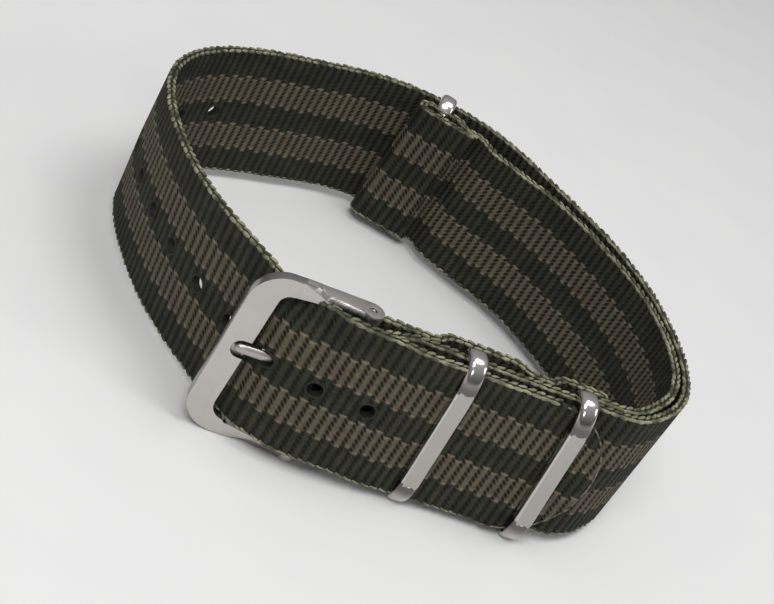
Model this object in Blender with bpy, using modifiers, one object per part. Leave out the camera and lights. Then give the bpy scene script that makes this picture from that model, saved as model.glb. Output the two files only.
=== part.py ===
"""A watch strap of striped nylon webbing, buckled into a loop and standing on its edge.

One long strap is folded round the spring bar of the buckle, runs once round the loop and comes
back over the buckle as the tail. A short strap is sewn into the end of the fold and carries the
end ring. Everything is laid out in plan from the spring bar: +X runs along the front wall from
the buckle to the far keeper, +Y runs into the loop, and Z is measured from the lower edge of the
webbing. At the end the whole strap is set down with its lowest point at Z = 0.
"""

import math

import bmesh
import bpy
from mathutils import Matrix, Vector

MM = 0.001

# Webbing
WEBBING_WIDTH = 22.0 * MM
WEBBING_THICKNESS = 1.2 * MM
LAYER_GAP = 0.3 * MM
TAIL_LIFT = 0.6 * MM
TAIL_BULGE = 0.5 * MM
TAIL_TIP_LENGTH = 9.8 * MM
TAIL_OVERHANG = 1.2 * MM
HOLE_DIAMETER = 2.2 * MM
HOLE_SPACING = 7.1 * MM
HOLES_PAST_TONGUE = 2
HOLES_BEHIND_TONGUE = 9

# Fold of the long strap, from the spring bar to its sewn end
FOLD_HEAD_LENGTH = 8.4 * MM
NEAR_POCKET_LENGTH = 16.4 * MM
FAR_POCKET_LENGTH = 9.9 * MM
SEAM_LAND = 1.6 * MM
POCKET_RAMP = 3.0 * MM
FOLD_RISE = 1.7 * MM
FOLD_CLEARANCE = 0.15 * MM
SHORT_STRAP_TUCK = 1.1 * MM

# Loop
LEFT_SWEEP = 27.3 * MM
RIGHT_SWEEP = 14.0 * MM
LOOP_DEPTH = 67.3 * MM
CASE_SEAT_LENGTH = 14.0 * MM
STRAP_SPREAD = 0.5 * MM

# Stitching
STITCH_MARGIN = 2.0 * MM
STITCH_COUNT = 5
THREAD_DIAMETER = 0.3 * MM
THREAD_CLEARANCE = 0.08 * MM

# Spring bar
BARREL_DIAMETER = 1.8 * MM
BARREL_WALL = 0.25 * MM
BARREL_CRIMP = 0.5 * MM
BARREL_END_CLEARANCE = 0.4 * MM
PIVOT_DIAMETER = 0.8 * MM
PIVOT_CLEARANCE = 0.1 * MM
PIVOT_RECESS = 0.2 * MM
PISTON_LENGTH = 1.5 * MM
SPRING_WIRE = 0.22 * MM
SPRING_PITCH = 0.8 * MM
SPRING_END_GAP = 0.3 * MM

# Buckle
BUCKLE_REACH = 12.75 * MM
BUCKLE_BAR_WIDTH = 3.2 * MM
BUCKLE_THICKNESS = 1.4 * MM
BUCKLE_BAR_DROP = 0.2 * MM
BUCKLE_CORNER_RADIUS = 4.4 * MM
WINDOW_CORNER_RADIUS = 2.4 * MM
LUG_THICKNESS = 1.25 * MM
LUG_HEIGHT = 3.4 * MM
LUG_CLEARANCE = 0.3 * MM
NOTCH_DEPTH = 0.7 * MM
NOTCH_CLEARANCE = 0.2 * MM

# Tongue
TONGUE_WIDTH = 1.8 * MM
TONGUE_THICKNESS = 1.1 * MM
TONGUE_TIP_THICKNESS = 0.8 * MM
TONGUE_EYE_WALL = 0.7 * MM
TONGUE_EYE_CLEARANCE = 0.15 * MM
TONGUE_REST_CLEARANCE = 0.1 * MM
TONGUE_SLOT_CLEARANCE = 0.3 * MM
TONGUE_HOLE_LENGTH = 3.9 * MM
TONGUE_HOLE_SHIFT = 0.4 * MM

# Keepers and end ring, all three alike
RING_BAR_WIDTH = 2.75 * MM
RING_BAR_THICKNESS = 1.2 * MM
RING_EDGE_CLEARANCE = 0.4 * MM
RING_FACE_CLEARANCE = 0.3 * MM
RING_CORNER_RADIUS = 2.3 * MM
RING_INNER_RADIUS = 0.6 * MM
RING_EDGE_ROUNDING = 0.2 * MM
RING_FOLD_PLAY = 0.8 * MM
RING_SEAM_REACH = 4.3 * MM

# Places along the strap, as shares of the sizes they follow
NEAR_KEEPER_SHARE = 0.24
FAR_KEEPER_SHARE = 0.75
TONGUE_CROSSING_SHARE = 0.62
TONGUE_TIP_WIDTH_SHARE = 0.75
CORNER_SHARES = (0.61, 0.074)
RIGHT_WALL_SHARE = 0.305
CASE_SEAT_SHARES = (0.873, 0.724)
BACK_BEND_SHARES = (0.630, 0.982)
RING_SHARES = (0.580, 0.993)
BACK_PEAK_SHARES = (0.510, 1.0)
BACK_WALL_SHARES = (0.359, 0.958)
BACK_CORNER_SHARES = (0.186, 0.868)
LEFT_WALL_SHARE = 0.58
LEFT_LOW_SHARES = (0.88, 0.348)
TAIL_START_SHARES = (0.568, 0.129)
SHORT_SWAY_SHARES = (0.919, 0.562)
SHORT_RETURN_SHARES = (0.769, 0.768)
SHORT_DIP_SHARES = (0.674, 0.857)

# Headings along the loop, in degrees from +X
CORNER_HEADING = 45
RIGHT_WALL_HEADING = 90
CASE_SEAT_HEADING = 130
BACK_BEND_HEADING = 160
UNDER_RING_HEADING = 169
RING_HEADING = 163
BACK_PEAK_HEADING = 181
BACK_WALL_HEADING = 204
BACK_CORNER_HEADING = 208
LEFT_WALL_HEADING = 268
LEFT_LOW_HEADING = 290
TAIL_START_HEADING = 309
CROSSING_HEADING = 317
SHORT_SWAY_HEADING = 121
SHORT_RETURN_HEADING = 148
SHORT_DIP_HEADING = 140

# How finely round shapes are faceted
FACET_TURN = math.radians(9)
ROUND_SIDES = 16
THREAD_HOLE_SIDES = 8
CORNER_STEPS = 6
SPRING_POINTS_PER_TURN = 8
CUT_OVERRUN = 0.5 * MM
WELD_DISTANCE = 0.01 * MM
STRAIGHT_LIMIT = math.radians(0.05)

# Levels across the webbing at the front, measured inward from the spring bar's axis
FOLD_RADIUS = BARREL_DIAMETER / 2 + FOLD_CLEARANCE + WEBBING_THICKNESS / 2
LAYER_STEP = WEBBING_THICKNESS + LAYER_GAP
FRONT_LEVEL = FOLD_RISE - FOLD_RADIUS
TAIL_LEVEL = FRONT_LEVEL - WEBBING_THICKNESS - TAIL_LIFT
TAIL_TOP_LEVEL = -FOLD_RADIUS - LAYER_STEP
POCKET_STEP = WEBBING_THICKNESS + RING_BAR_THICKNESS + 2 * LAYER_GAP
MID_HEIGHT = WEBBING_WIDTH / 2
STITCH_PITCH = (WEBBING_WIDTH - 2 * STITCH_MARGIN) / STITCH_COUNT

# Places along the front wall
SEAM_NEAR_X = FOLD_HEAD_LENGTH
SEAM_MIDDLE_X = SEAM_NEAR_X + NEAR_POCKET_LENGTH
SEAM_FAR_X = SEAM_MIDDLE_X + FAR_POCKET_LENGTH
FOLD_END_X = SEAM_FAR_X + SEAM_LAND
SHORT_START_X = SEAM_FAR_X - SHORT_STRAP_TUCK
FRONT_END_X = FOLD_END_X + LAYER_GAP
LEFT_X = -LEFT_SWEEP
RIGHT_X = FRONT_END_X + RIGHT_SWEEP
LOOP_WIDTH = RIGHT_X - LEFT_X

# Ring sizes
RING_OPENING = 2 * WEBBING_THICKNESS + TAIL_LIFT + 2 * RING_FACE_CLEARANCE
RING_DEPTH = RING_OPENING + 2 * RING_BAR_THICKNESS
RING_HEIGHT = WEBBING_WIDTH + 2 * (RING_EDGE_CLEARANCE + RING_BAR_THICKNESS)

# Buckle sizes
LUG_INNER_HALF = WEBBING_WIDTH / 2 + LUG_CLEARANCE
BUCKLE_HALF_HEIGHT = LUG_INNER_HALF + LUG_THICKNESS
BUCKLE_OUTER_X = -BUCKLE_REACH - BUCKLE_BAR_WIDTH / 2
WINDOW_X = -BUCKLE_REACH + BUCKLE_BAR_WIDTH / 2
BAR_FACE_Y = BUCKLE_BAR_DROP - BUCKLE_THICKNESS / 2
TONGUE_TIP_Y = BAR_FACE_Y + NOTCH_DEPTH - TONGUE_REST_CLEARANCE - TONGUE_TIP_THICKNESS / 2
TONGUE_LENGTH = BUCKLE_REACH
BARREL_HALF_LENGTH = WEBBING_WIDTH / 2 - BARREL_END_CLEARANCE


def flat_vector(angle):
    """The unit vector in plan at an angle in radians from +X."""
    return Vector((math.cos(angle), math.sin(angle)))


def inward(heading):
    """The unit vector to the left of a heading in degrees, which is into the loop."""
    return flat_vector(math.radians(heading + 90))


def bend_between(start, end):
    """Points of one smooth bend between two stations, without the last one."""
    (point_a, heading_a), (point_b, heading_b) = start, end
    turn = math.radians(heading_b - heading_a)
    chord = (point_b - point_a).length
    handle = chord / (3 * math.cos(turn / 4) ** 2)
    control_a = point_a + flat_vector(math.radians(heading_a)) * handle
    control_b = point_b - flat_vector(math.radians(heading_b)) * handle
    chord_angle = math.atan2(*reversed(point_b - point_a))
    swing = abs(math.remainder(chord_angle - math.radians(heading_a), math.tau)) * 2
    swing += abs(math.remainder(math.radians(heading_b) - chord_angle, math.tau)) * 2
    count = max(1, math.ceil(max(swing / 2, abs(turn)) / FACET_TURN))
    points = []
    for index in range(count):
        t = index / count
        points.append(
            point_a * (1 - t) ** 3
            + control_a * 3 * t * (1 - t) ** 2
            + control_b * 3 * t ** 2 * (1 - t)
            + point_b * t ** 3
        )
    return points


def route_through(stations):
    """A plan route through stations, each a point and a heading in degrees."""
    points = []
    for start, end in zip(stations, stations[1:]):
        points += bend_between(start, end)
    points.append(stations[-1][0])
    route = points[:1]
    for point, follow in zip(points[1:], points[2:]):
        before, after = point - route[-1], follow - point
        if before.length > WELD_DISTANCE and before.angle(after, 0) > STRAIGHT_LIMIT:
            route.append(point)
    return route + points[-1:]


def route_length(route):
    return sum((b - a).length for a, b in zip(route, route[1:]))


def along_route(route, distance):
    """The point and the unit direction at a distance along a route."""
    for start, end in zip(route, route[1:]):
        piece = (end - start).length
        if distance <= piece or end is route[-1]:
            break
        distance -= piece
    direction = (end - start).normalized()
    return start + direction * distance, direction


def part_of_route(route, start, end):
    """The stretch of a route between two distances along it."""
    travelled = 0.0
    stretch = [along_route(route, start)[0]]
    for a, b in zip(route, route[1:]):
        travelled += (b - a).length
        if start + WELD_DISTANCE < travelled < end - WELD_DISTANCE:
            stretch.append(b)
    return stretch + [along_route(route, end)[0]]


def ribbon(route, thickness):
    """The closed outline of a band of even thickness along a route."""
    left, right = [], []
    for index, point in enumerate(route):
        before = point - route[index - 1] if index else route[1] - point
        after = route[index + 1] - point if index < len(route) - 1 else before
        before, after = before.normalized(), after.normalized()
        mitre = Vector((-before.y - after.y, before.x + after.x)).normalized()
        half = thickness / 2 / mitre.dot(Vector((-after.y, after.x)))
        left.append(point + mitre * half)
        right.append(point - mitre * half)
    return left + right[::-1]


def arc_points(centre, radius, start, end, steps):
    """Points on an arc, from one angle in degrees to another, both ends included."""
    angles = [math.radians(start + (end - start) * i / steps) for i in range(steps + 1)]
    return [Vector(centre) + flat_vector(angle) * radius for angle in angles]


def rounded_box(low, high, radii):
    """A box outline with a radius for each corner, from low-left round to high-left."""
    corners = [(low[0], low[1]), (high[0], low[1]), (high[0], high[1]), (low[0], high[1])]
    inward_signs = [(1, 1), (-1, 1), (-1, -1), (1, -1)]
    outline = []
    for index, ((x, y), (sx, sy), radius) in enumerate(zip(corners, inward_signs, radii)):
        if radius:
            centre = (x + sx * radius, y + sy * radius)
            start = 180 + 90 * index
            outline += arc_points(centre, radius, start, start + 90, CORNER_STEPS)
        else:
            outline.append(Vector((x, y)))
    return outline


def make_material(name, colour, roughness, metallic):
    material = bpy.data.materials.new(name)
    material.use_nodes = True
    shader = material.node_tree.nodes["Principled BSDF"]
    shader.inputs["Base Color"].default_value = (*colour, 1)
    shader.inputs["Roughness"].default_value = roughness
    shader.inputs["Metallic"].default_value = metallic
    return material


def plate_mesh(name, outlines, thickness):
    """A mesh of a flat outline, with any holes, given an even thickness about its plane."""
    curve = bpy.data.curves.new(name, "CURVE")
    curve.dimensions = "2D"
    curve.fill_mode = "BOTH"
    curve.extrude = thickness / 2
    for outline in outlines:
        spline = curve.splines.new("POLY")
        spline.points.add(len(outline) - 1)
        spline.use_cyclic_u = True
        for point, place in zip(spline.points, outline):
            point.co = (*place, 0, 1)
    holder = bpy.data.objects.new(name, curve)
    bpy.context.scene.collection.objects.link(holder)
    mesh = bpy.data.meshes.new_from_object(holder.evaluated_get(bpy.context.evaluated_depsgraph_get()))
    bpy.data.objects.remove(holder)
    bpy.data.curves.remove(curve)
    weld_mesh(mesh)
    return mesh


def weld_mesh(mesh):
    shape = bmesh.new()
    shape.from_mesh(mesh)
    bmesh.ops.remove_doubles(shape, verts=shape.verts, dist=WELD_DISTANCE)
    bmesh.ops.recalc_face_normals(shape, faces=shape.faces)
    shape.to_mesh(mesh)
    shape.free()


# Plates drawn in XY are turned to stand in another plane
ACROSS_X = Matrix(((0, 0, 1, 0), (1, 0, 0, 0), (0, 1, 0, 0), (0, 0, 0, 1)))
ACROSS_Y = Matrix(((1, 0, 0, 0), (0, 0, -1, 0), (0, 1, 0, 0), (0, 0, 0, 1)))


def add_part(name, mesh, material, place, rest, turn=0.0):
    """An object of the strap with its origin at a place, carried by the resting frame."""
    mesh.materials.clear()
    mesh.materials.append(material)
    part = bpy.data.objects.new(name, mesh)
    part.location = place
    part.rotation_euler = (0, 0, turn)
    part.parent = rest
    bpy.data.collections["watch_strap"].objects.link(part)
    mesh.shade_smooth()
    mesh.set_sharp_from_angle(angle=math.radians(35))
    return part


def boolean_with(part, mesh, place, rest, operation, turn=0.0):
    """A hidden cutter and the modifier on a part that uses it."""
    cutter = bpy.data.objects.new(part.name + "_cutter", mesh)
    cutter.location = place
    cutter.rotation_euler = (0, 0, turn)
    cutter.parent = rest
    cutter.hide_render = True
    cutter.display_type = "WIRE"
    bpy.data.collections["cutters"].objects.link(cutter)
    modifier = part.modifiers.new(operation.lower(), "BOOLEAN")
    modifier.operation = operation
    modifier.object = cutter
    modifier.solver = "EXACT"


def cylinder_mesh(name, radius, length, turned=None):
    shape = bmesh.new()
    bmesh.ops.create_cone(
        shape, cap_ends=True, segments=ROUND_SIDES, radius1=radius, radius2=radius, depth=length
    )
    if turned:
        bmesh.ops.transform(shape, matrix=turned, verts=shape.verts)
    mesh = bpy.data.meshes.new(name)
    shape.to_mesh(mesh)
    shape.free()
    return mesh


def box_mesh(name, size):
    shape = bmesh.new()
    bmesh.ops.create_cube(shape, size=1)
    bmesh.ops.scale(shape, vec=Vector(size), verts=shape.verts)
    mesh = bpy.data.meshes.new(name)
    shape.to_mesh(mesh)
    shape.free()
    return mesh


def inner_fold_stations():
    """The folded end of the long strap, from its sewn end back to the spring bar."""
    land = SEAM_LAND / 2
    pinched = FRONT_LEVEL + LAYER_STEP
    open_level = FRONT_LEVEL + POCKET_STEP
    tucked = FRONT_LEVEL + 2 * LAYER_STEP
    places = [
        (FOLD_END_X, tucked),
        (SHORT_START_X - LAYER_GAP, tucked),
        (SHORT_START_X - LAYER_GAP - POCKET_RAMP, open_level),
        (SEAM_MIDDLE_X + land + POCKET_RAMP, open_level),
        (SEAM_MIDDLE_X + land, pinched),
        (SEAM_MIDDLE_X - land, pinched),
        (SEAM_MIDDLE_X - land - POCKET_RAMP, open_level),
        (SEAM_NEAR_X + land + POCKET_RAMP, open_level),
        (SEAM_NEAR_X + land, pinched),
        (SEAM_NEAR_X - land, pinched),
        (BARREL_DIAMETER, FOLD_RADIUS),
        (0, FOLD_RADIUS),
    ]
    return [(Vector(place), 180) for place in places]


def share_point(shares):
    """A point inside the loop's own width and depth."""
    return Vector((LEFT_X + shares[0] * LOOP_WIDTH, shares[1] * LOOP_DEPTH))


def loop_stations():
    """The long strap from the spring bar round the loop to where the tail starts."""
    seat = share_point(CASE_SEAT_SHARES)
    seat_end = seat + flat_vector(math.radians(CASE_SEAT_HEADING)) * CASE_SEAT_LENGTH
    ring = share_point(RING_SHARES)
    under_ring = flat_vector(math.radians(UNDER_RING_HEADING)) * RING_BAR_WIDTH / 2
    return [
        (Vector((-FOLD_RADIUS, 0)), 270),
        (Vector((0, -FOLD_RADIUS)), 360),
        (Vector((BARREL_DIAMETER / 2, -FOLD_RADIUS)), 360),
        (Vector((SEAM_NEAR_X - SEAM_LAND / 2, FRONT_LEVEL)), 360),
        (Vector((FRONT_END_X, FRONT_LEVEL)), 360),
        (corner_point(), 360 + CORNER_HEADING),
        (right_wall_point(), 360 + RIGHT_WALL_HEADING),
        (seat, 360 + CASE_SEAT_HEADING),
        (seat_end, 360 + CASE_SEAT_HEADING),
        (share_point(BACK_BEND_SHARES), 360 + BACK_BEND_HEADING),
        (ring - under_ring, 360 + UNDER_RING_HEADING),
        (ring + under_ring, 360 + UNDER_RING_HEADING),
        (share_point(BACK_PEAK_SHARES), 360 + BACK_PEAK_HEADING),
        (share_point(BACK_WALL_SHARES), 360 + BACK_WALL_HEADING),
        (share_point(BACK_CORNER_SHARES), 360 + BACK_CORNER_HEADING),
        (Vector((LEFT_X, LEFT_WALL_SHARE * LOOP_DEPTH)), 360 + LEFT_WALL_HEADING),
        (left_point(LEFT_LOW_SHARES), 360 + LEFT_LOW_HEADING),
        (left_point(TAIL_START_SHARES), 360 + TAIL_START_HEADING),
    ]


def corner_point():
    return Vector((FRONT_END_X + CORNER_SHARES[0] * RIGHT_SWEEP, CORNER_SHARES[1] * LOOP_DEPTH))


def right_wall_point():
    return Vector((RIGHT_X, RIGHT_WALL_SHARE * LOOP_DEPTH))


def left_point(shares):
    return Vector((shares[0] * LEFT_X, shares[1] * LOOP_DEPTH))


def crossing_point():
    """Where the tail crosses the tongue, on the tongue's own middle line."""
    x = -TONGUE_CROSSING_SHARE * BUCKLE_REACH
    return Vector((x, TONGUE_TIP_Y * TONGUE_CROSSING_SHARE))


def tail_stations():
    """The free end of the long strap, under the buckle bar, over the fold and to its tip."""
    bulge_level = TAIL_TOP_LEVEL - TAIL_BULGE
    return [
        (left_point(TAIL_START_SHARES), TAIL_START_HEADING - 360),
        (crossing_point(), CROSSING_HEADING - 360),
        (Vector((-BARREL_DIAMETER / 4, TAIL_TOP_LEVEL)), 0),
        (Vector((SEAM_NEAR_X / 2, bulge_level)), 0),
        (Vector((SEAM_NEAR_X + SEAM_LAND / 2 + POCKET_RAMP, TAIL_LEVEL)), 0),
        (Vector((FOLD_END_X + TAIL_OVERHANG, TAIL_LEVEL)), 0),
    ]


def ring_layout():
    """The middle of the long strap at the end ring, and the ring's inner bar behind it."""
    strap_middle = share_point(RING_SHARES)
    side = inward(RING_HEADING)
    front_layer = strap_middle + side * (WEBBING_THICKNESS + TAIL_LIFT)
    inner_bar = front_layer + side * (WEBBING_THICKNESS / 2 + LAYER_GAP + RING_BAR_THICKNESS / 2)
    return strap_middle, front_layer, inner_bar


def short_strap_stations():
    """The short strap from the end of the fold to its own fold round the end ring."""
    gap = WEBBING_THICKNESS + STRAP_SPREAD
    _, front_layer, inner_bar = ring_layout()
    ahead = flat_vector(math.radians(RING_HEADING))
    side = inward(RING_HEADING)
    half_pocket = POCKET_STEP / 2
    turn_centre = inner_bar + ahead * (RING_BAR_WIDTH / 2 + RING_FOLD_PLAY)
    land = ahead * (SEAM_LAND / 2)
    seam, _ = ring_seam_place()
    front_seam = seam - side * (LAYER_STEP / 2)
    back_seam = seam + side * (LAYER_STEP / 2)
    return [
        (Vector((SHORT_START_X, FRONT_LEVEL + LAYER_STEP)), 0),
        (Vector((FRONT_END_X, FRONT_LEVEL + LAYER_STEP)), 0),
        (corner_point() + inward(CORNER_HEADING) * gap, CORNER_HEADING),
        (right_wall_point() + inward(RIGHT_WALL_HEADING) * gap, RIGHT_WALL_HEADING),
        (share_point(SHORT_SWAY_SHARES), SHORT_SWAY_HEADING),
        (share_point(SHORT_RETURN_SHARES), SHORT_RETURN_HEADING),
        (share_point(SHORT_DIP_SHARES), SHORT_DIP_HEADING),
        (front_seam - land, RING_HEADING),
        (front_seam + land, RING_HEADING),
        (front_layer - ahead * (RING_BAR_WIDTH / 2), RING_HEADING),
        (turn_centre - side * half_pocket, RING_HEADING),
        (turn_centre + ahead * half_pocket, RING_HEADING + 90),
        (turn_centre + side * half_pocket, RING_HEADING + 180),
        (back_seam - land, RING_HEADING + 180),
    ]


def ring_seam_place():
    """The middle of the seam that closes the short strap's fold, and its turn."""
    _, front_layer, _ = ring_layout()
    across = inward(RING_HEADING) * (POCKET_STEP - LAYER_STEP / 2)
    back = flat_vector(math.radians(RING_HEADING)) * RING_SEAM_REACH
    return front_layer + across - back, math.radians(RING_HEADING)


def webbing_part(name, route, material, rest):
    """A length of webbing standing on its edge along a plan route."""
    outline = ribbon(route, WEBBING_THICKNESS)
    mesh = plate_mesh(name, [outline], WEBBING_WIDTH)
    return add_part(name, mesh, material, (0, 0, MID_HEIGHT), rest)


def punch_hole(part, route, distance, rest):
    """A round hole through the webbing at a distance along its route."""
    point, direction = along_route(route, distance)
    length = WEBBING_THICKNESS + 2 * CUT_OVERRUN
    mesh = cylinder_mesh("hole", HOLE_DIAMETER / 2, length, Matrix.Rotation(math.pi / 2, 4, "X"))
    place = (*point, MID_HEIGHT)
    boolean_with(part, mesh, place, rest, "DIFFERENCE", math.atan2(direction.y, direction.x))


def punch_tongue_hole(part, point, rest):
    """The hole that the tongue goes through, drawn out along the strap by its pull."""
    half = HOLE_DIAMETER / 2
    reach = TONGUE_HOLE_LENGTH / 2
    outline = rounded_box((-reach, -half), (reach, half), [half] * 4)
    mesh = plate_mesh("tongue_hole", [outline], 2 * WEBBING_THICKNESS + 2 * CUT_OVERRUN)
    mesh.transform(ACROSS_Y)
    turn = math.radians(CROSSING_HEADING)
    boolean_with(part, mesh, (*point, MID_HEIGHT), rest, "DIFFERENCE", turn)


def stitch_heights():
    """Where the thread goes through the webbing, measured from the middle of its width."""
    return [-WEBBING_WIDTH / 2 + STITCH_MARGIN + STITCH_PITCH * index for index in range(STITCH_COUNT + 1)]


def pierce_for_thread(part, middle, turn, depth, rest):
    """One round hole for each pass of the thread, all cut at once."""
    radius = THREAD_DIAMETER / 2 * math.sqrt(2) + THREAD_CLEARANCE
    shape = bmesh.new()
    for height in stitch_heights():
        place = Matrix.Translation((0, 0, height)) @ Matrix.Rotation(math.pi / 2, 4, "X")
        bmesh.ops.create_cone(
            shape, cap_ends=True, segments=THREAD_HOLE_SIDES, radius1=radius, radius2=radius,
            depth=depth, matrix=place
        )
    mesh = bpy.data.meshes.new("stitch_holes")
    shape.to_mesh(mesh)
    shape.free()
    boolean_with(part, mesh, (*middle, MID_HEIGHT), rest, "DIFFERENCE", turn)


def make_seam(name, middle, turn, layers, material, rest):
    """One running thread across the strap, in and out through its layers."""
    stack = (layers - 1) * LAYER_STEP + WEBBING_THICKNESS
    out = stack / 2 + THREAD_CLEARANCE + THREAD_DIAMETER / 2
    heights = stitch_heights()
    tail = STITCH_PITCH / 3
    route = [Vector((-out, heights[0] - tail))]
    for height in heights:
        side = route[-1].x
        route += [Vector((side, height)), Vector((-side, height))]
    route.append(Vector((route[-1].x, heights[-1] + tail)))
    mesh = plate_mesh(name, [ribbon(route, THREAD_DIAMETER)], THREAD_DIAMETER)
    mesh.transform(ACROSS_X)
    return add_part(name, mesh, material, (*middle, MID_HEIGHT), rest, turn)


def make_long_strap(material, rest):
    """The fold, the front layer and the rest of the loop, up to where the tail starts."""
    route = route_through(inner_fold_stations() + loop_stations())
    length = route_length(route)
    route = part_of_route(route, 0, length - LAYER_GAP / 2)
    strap = webbing_part("long_strap", route, material, rest)
    eye_radius = BARREL_DIAMETER / 2 + TONGUE_EYE_CLEARANCE + TONGUE_EYE_WALL
    slot_reach = eye_radius + TONGUE_SLOT_CLEARANCE
    slot_left = FOLD_RADIUS + WEBBING_THICKNESS
    slot_size = (
        slot_left + slot_reach,
        2 * FOLD_RADIUS + 2 * WEBBING_THICKNESS,
        TONGUE_WIDTH + 2 * TONGUE_SLOT_CLEARANCE,
    )
    slot_place = ((slot_reach - slot_left) / 2, 0, MID_HEIGHT)
    boolean_with(strap, box_mesh("tongue_slot", slot_size), slot_place, rest, "DIFFERENCE")
    to_tongue = route_length(part_of_tail_before_tongue())
    for index in range(1, HOLES_BEHIND_TONGUE + 1):
        back = index * HOLE_SPACING + TONGUE_HOLE_SHIFT - to_tongue
        if back > 0:
            punch_hole(strap, route, length - back, rest)
    for x, layers in ((SEAM_NEAR_X, 2), (SEAM_MIDDLE_X, 2), (SEAM_FAR_X, 3)):
        middle = (x, FRONT_LEVEL + LAYER_STEP * (layers - 1) / 2)
        depth = layers * LAYER_STEP + WEBBING_THICKNESS
        pierce_for_thread(strap, middle, 0, depth, rest)
    return strap


def part_of_tail_before_tongue():
    return route_through(tail_stations()[:2])


def make_tail(material, rest):
    """The free end of the long strap, which lies over the fold and through both keepers."""
    route = route_through(tail_stations())
    length = route_length(route)
    to_tongue = route_length(part_of_tail_before_tongue())
    tail_route = part_of_route(route, LAYER_GAP / 2, length)
    tail = webbing_part("strap_tail", tail_route, material, rest)
    back = flat_vector(math.radians(CROSSING_HEADING)) * -TONGUE_HOLE_SHIFT
    punch_tongue_hole(tail, crossing_point() + back, rest)
    for index in range(-HOLES_PAST_TONGUE, HOLES_BEHIND_TONGUE + 1):
        distance = to_tongue - TONGUE_HOLE_SHIFT - index * HOLE_SPACING
        if index and distance > HOLE_DIAMETER:
            punch_hole(tail, route, distance, rest)
    tip_x = FOLD_END_X + TAIL_OVERHANG
    round_off_tail(tail, tip_x, rest)
    return tail


def round_off_tail(tail, tip_x, rest):
    """Cuts the tail's end to a shallow half ellipse."""
    half = WEBBING_WIDTH / 2
    steps = 4 * CORNER_STEPS
    curve = []
    for index in range(steps + 1):
        angle = math.pi * index / steps - math.pi / 2
        curve.append(Vector((tip_x + TAIL_TIP_LENGTH * (math.cos(angle) - 1), half * math.sin(angle))))
    beyond = tip_x + CUT_OVERRUN
    before = tip_x - TAIL_TIP_LENGTH
    outline = [Vector((before, -half - CUT_OVERRUN)), Vector((beyond, -half - CUT_OVERRUN))]
    outline += [Vector((beyond, half + CUT_OVERRUN)), Vector((before, half + CUT_OVERRUN))]
    outline += curve[::-1]
    mesh = plate_mesh("tail_tip", [outline], WEBBING_THICKNESS + 2 * CUT_OVERRUN)
    mesh.transform(ACROSS_Y)
    boolean_with(tail, mesh, (0, TAIL_LEVEL, MID_HEIGHT), rest, "DIFFERENCE")


def make_short_strap(material, rest):
    route = route_through(short_strap_stations())
    strap = webbing_part("short_strap", route, material, rest)
    pierce_for_thread(
        strap, (SEAM_FAR_X, FRONT_LEVEL + LAYER_STEP), 0, WEBBING_THICKNESS + LAYER_GAP, rest
    )
    middle, turn = ring_seam_place()
    pierce_for_thread(strap, middle, turn, 2 * LAYER_STEP + WEBBING_THICKNESS, rest)
    return strap


def make_seams(material, rest):
    for name, x, layers in (
        ("seam_near", SEAM_NEAR_X, 2),
        ("seam_middle", SEAM_MIDDLE_X, 2),
        ("seam_far", SEAM_FAR_X, 3),
    ):
        middle = (x, FRONT_LEVEL + LAYER_STEP * (layers - 1) / 2)
        make_seam(name, middle, 0, layers, material, rest)
    middle, turn = ring_seam_place()
    make_seam("seam_ring", middle, turn, 2, material, rest)


def ring_mesh(name):
    """A closed ring of flat bar with round ends, about its own middle."""
    depth, height = RING_DEPTH / 2, RING_HEIGHT / 2
    inner_depth, inner_height = depth - RING_BAR_THICKNESS, height - RING_BAR_THICKNESS
    outer = rounded_box((-depth, -height), (depth, height), [RING_CORNER_RADIUS] * 4)
    inner = rounded_box((-inner_depth, -inner_height), (inner_depth, inner_height), [RING_INNER_RADIUS] * 4)
    mesh = plate_mesh(name, [outer, inner], RING_BAR_WIDTH)
    mesh.transform(ACROSS_X)
    return mesh


def add_ring(name, place, material, rest, turn=0.0):
    ring = add_part(name, ring_mesh(name), material, place, rest, turn)
    rounding = ring.modifiers.new("rounded_edges", "BEVEL")
    rounding.width = RING_EDGE_ROUNDING
    rounding.segments = 1
    rounding.limit_method = "ANGLE"
    rounding.angle_limit = math.radians(60)
    return ring


def make_keepers(material, rest):
    """The two keepers, each with its inner bar in a pocket of the fold."""
    half_bar = RING_BAR_WIDTH / 2
    reach = SEAM_LAND / 2 + POCKET_RAMP + half_bar
    runs = {
        "keeper_near": (SEAM_NEAR_X + reach, SEAM_MIDDLE_X - reach, NEAR_KEEPER_SHARE),
        "keeper_far": (SEAM_MIDDLE_X + reach, SHORT_START_X - LAYER_GAP - half_bar, FAR_KEEPER_SHARE),
    }
    inner_face = FRONT_LEVEL + WEBBING_THICKNESS / 2 + LAYER_GAP
    middle_y = inner_face + RING_BAR_THICKNESS - RING_DEPTH / 2
    for name, (start, end, share) in runs.items():
        x = start + share * (end - start)
        add_ring(name, (x, middle_y, MID_HEIGHT), material, rest)
        print(name, "runs", round((start - x) / MM, 3), "to", round((end - x) / MM, 3), "mm")


def make_end_ring(material, rest):
    """The ring at the end of the short strap, with its origin on its inner bar."""
    _, _, inner_bar = ring_layout()
    ring = add_ring("end_ring", (*inner_bar, MID_HEIGHT), material, rest, math.radians(RING_HEADING))
    ring.data.transform(Matrix.Translation((0, (RING_BAR_THICKNESS - RING_DEPTH) / 2, 0)))


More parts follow.
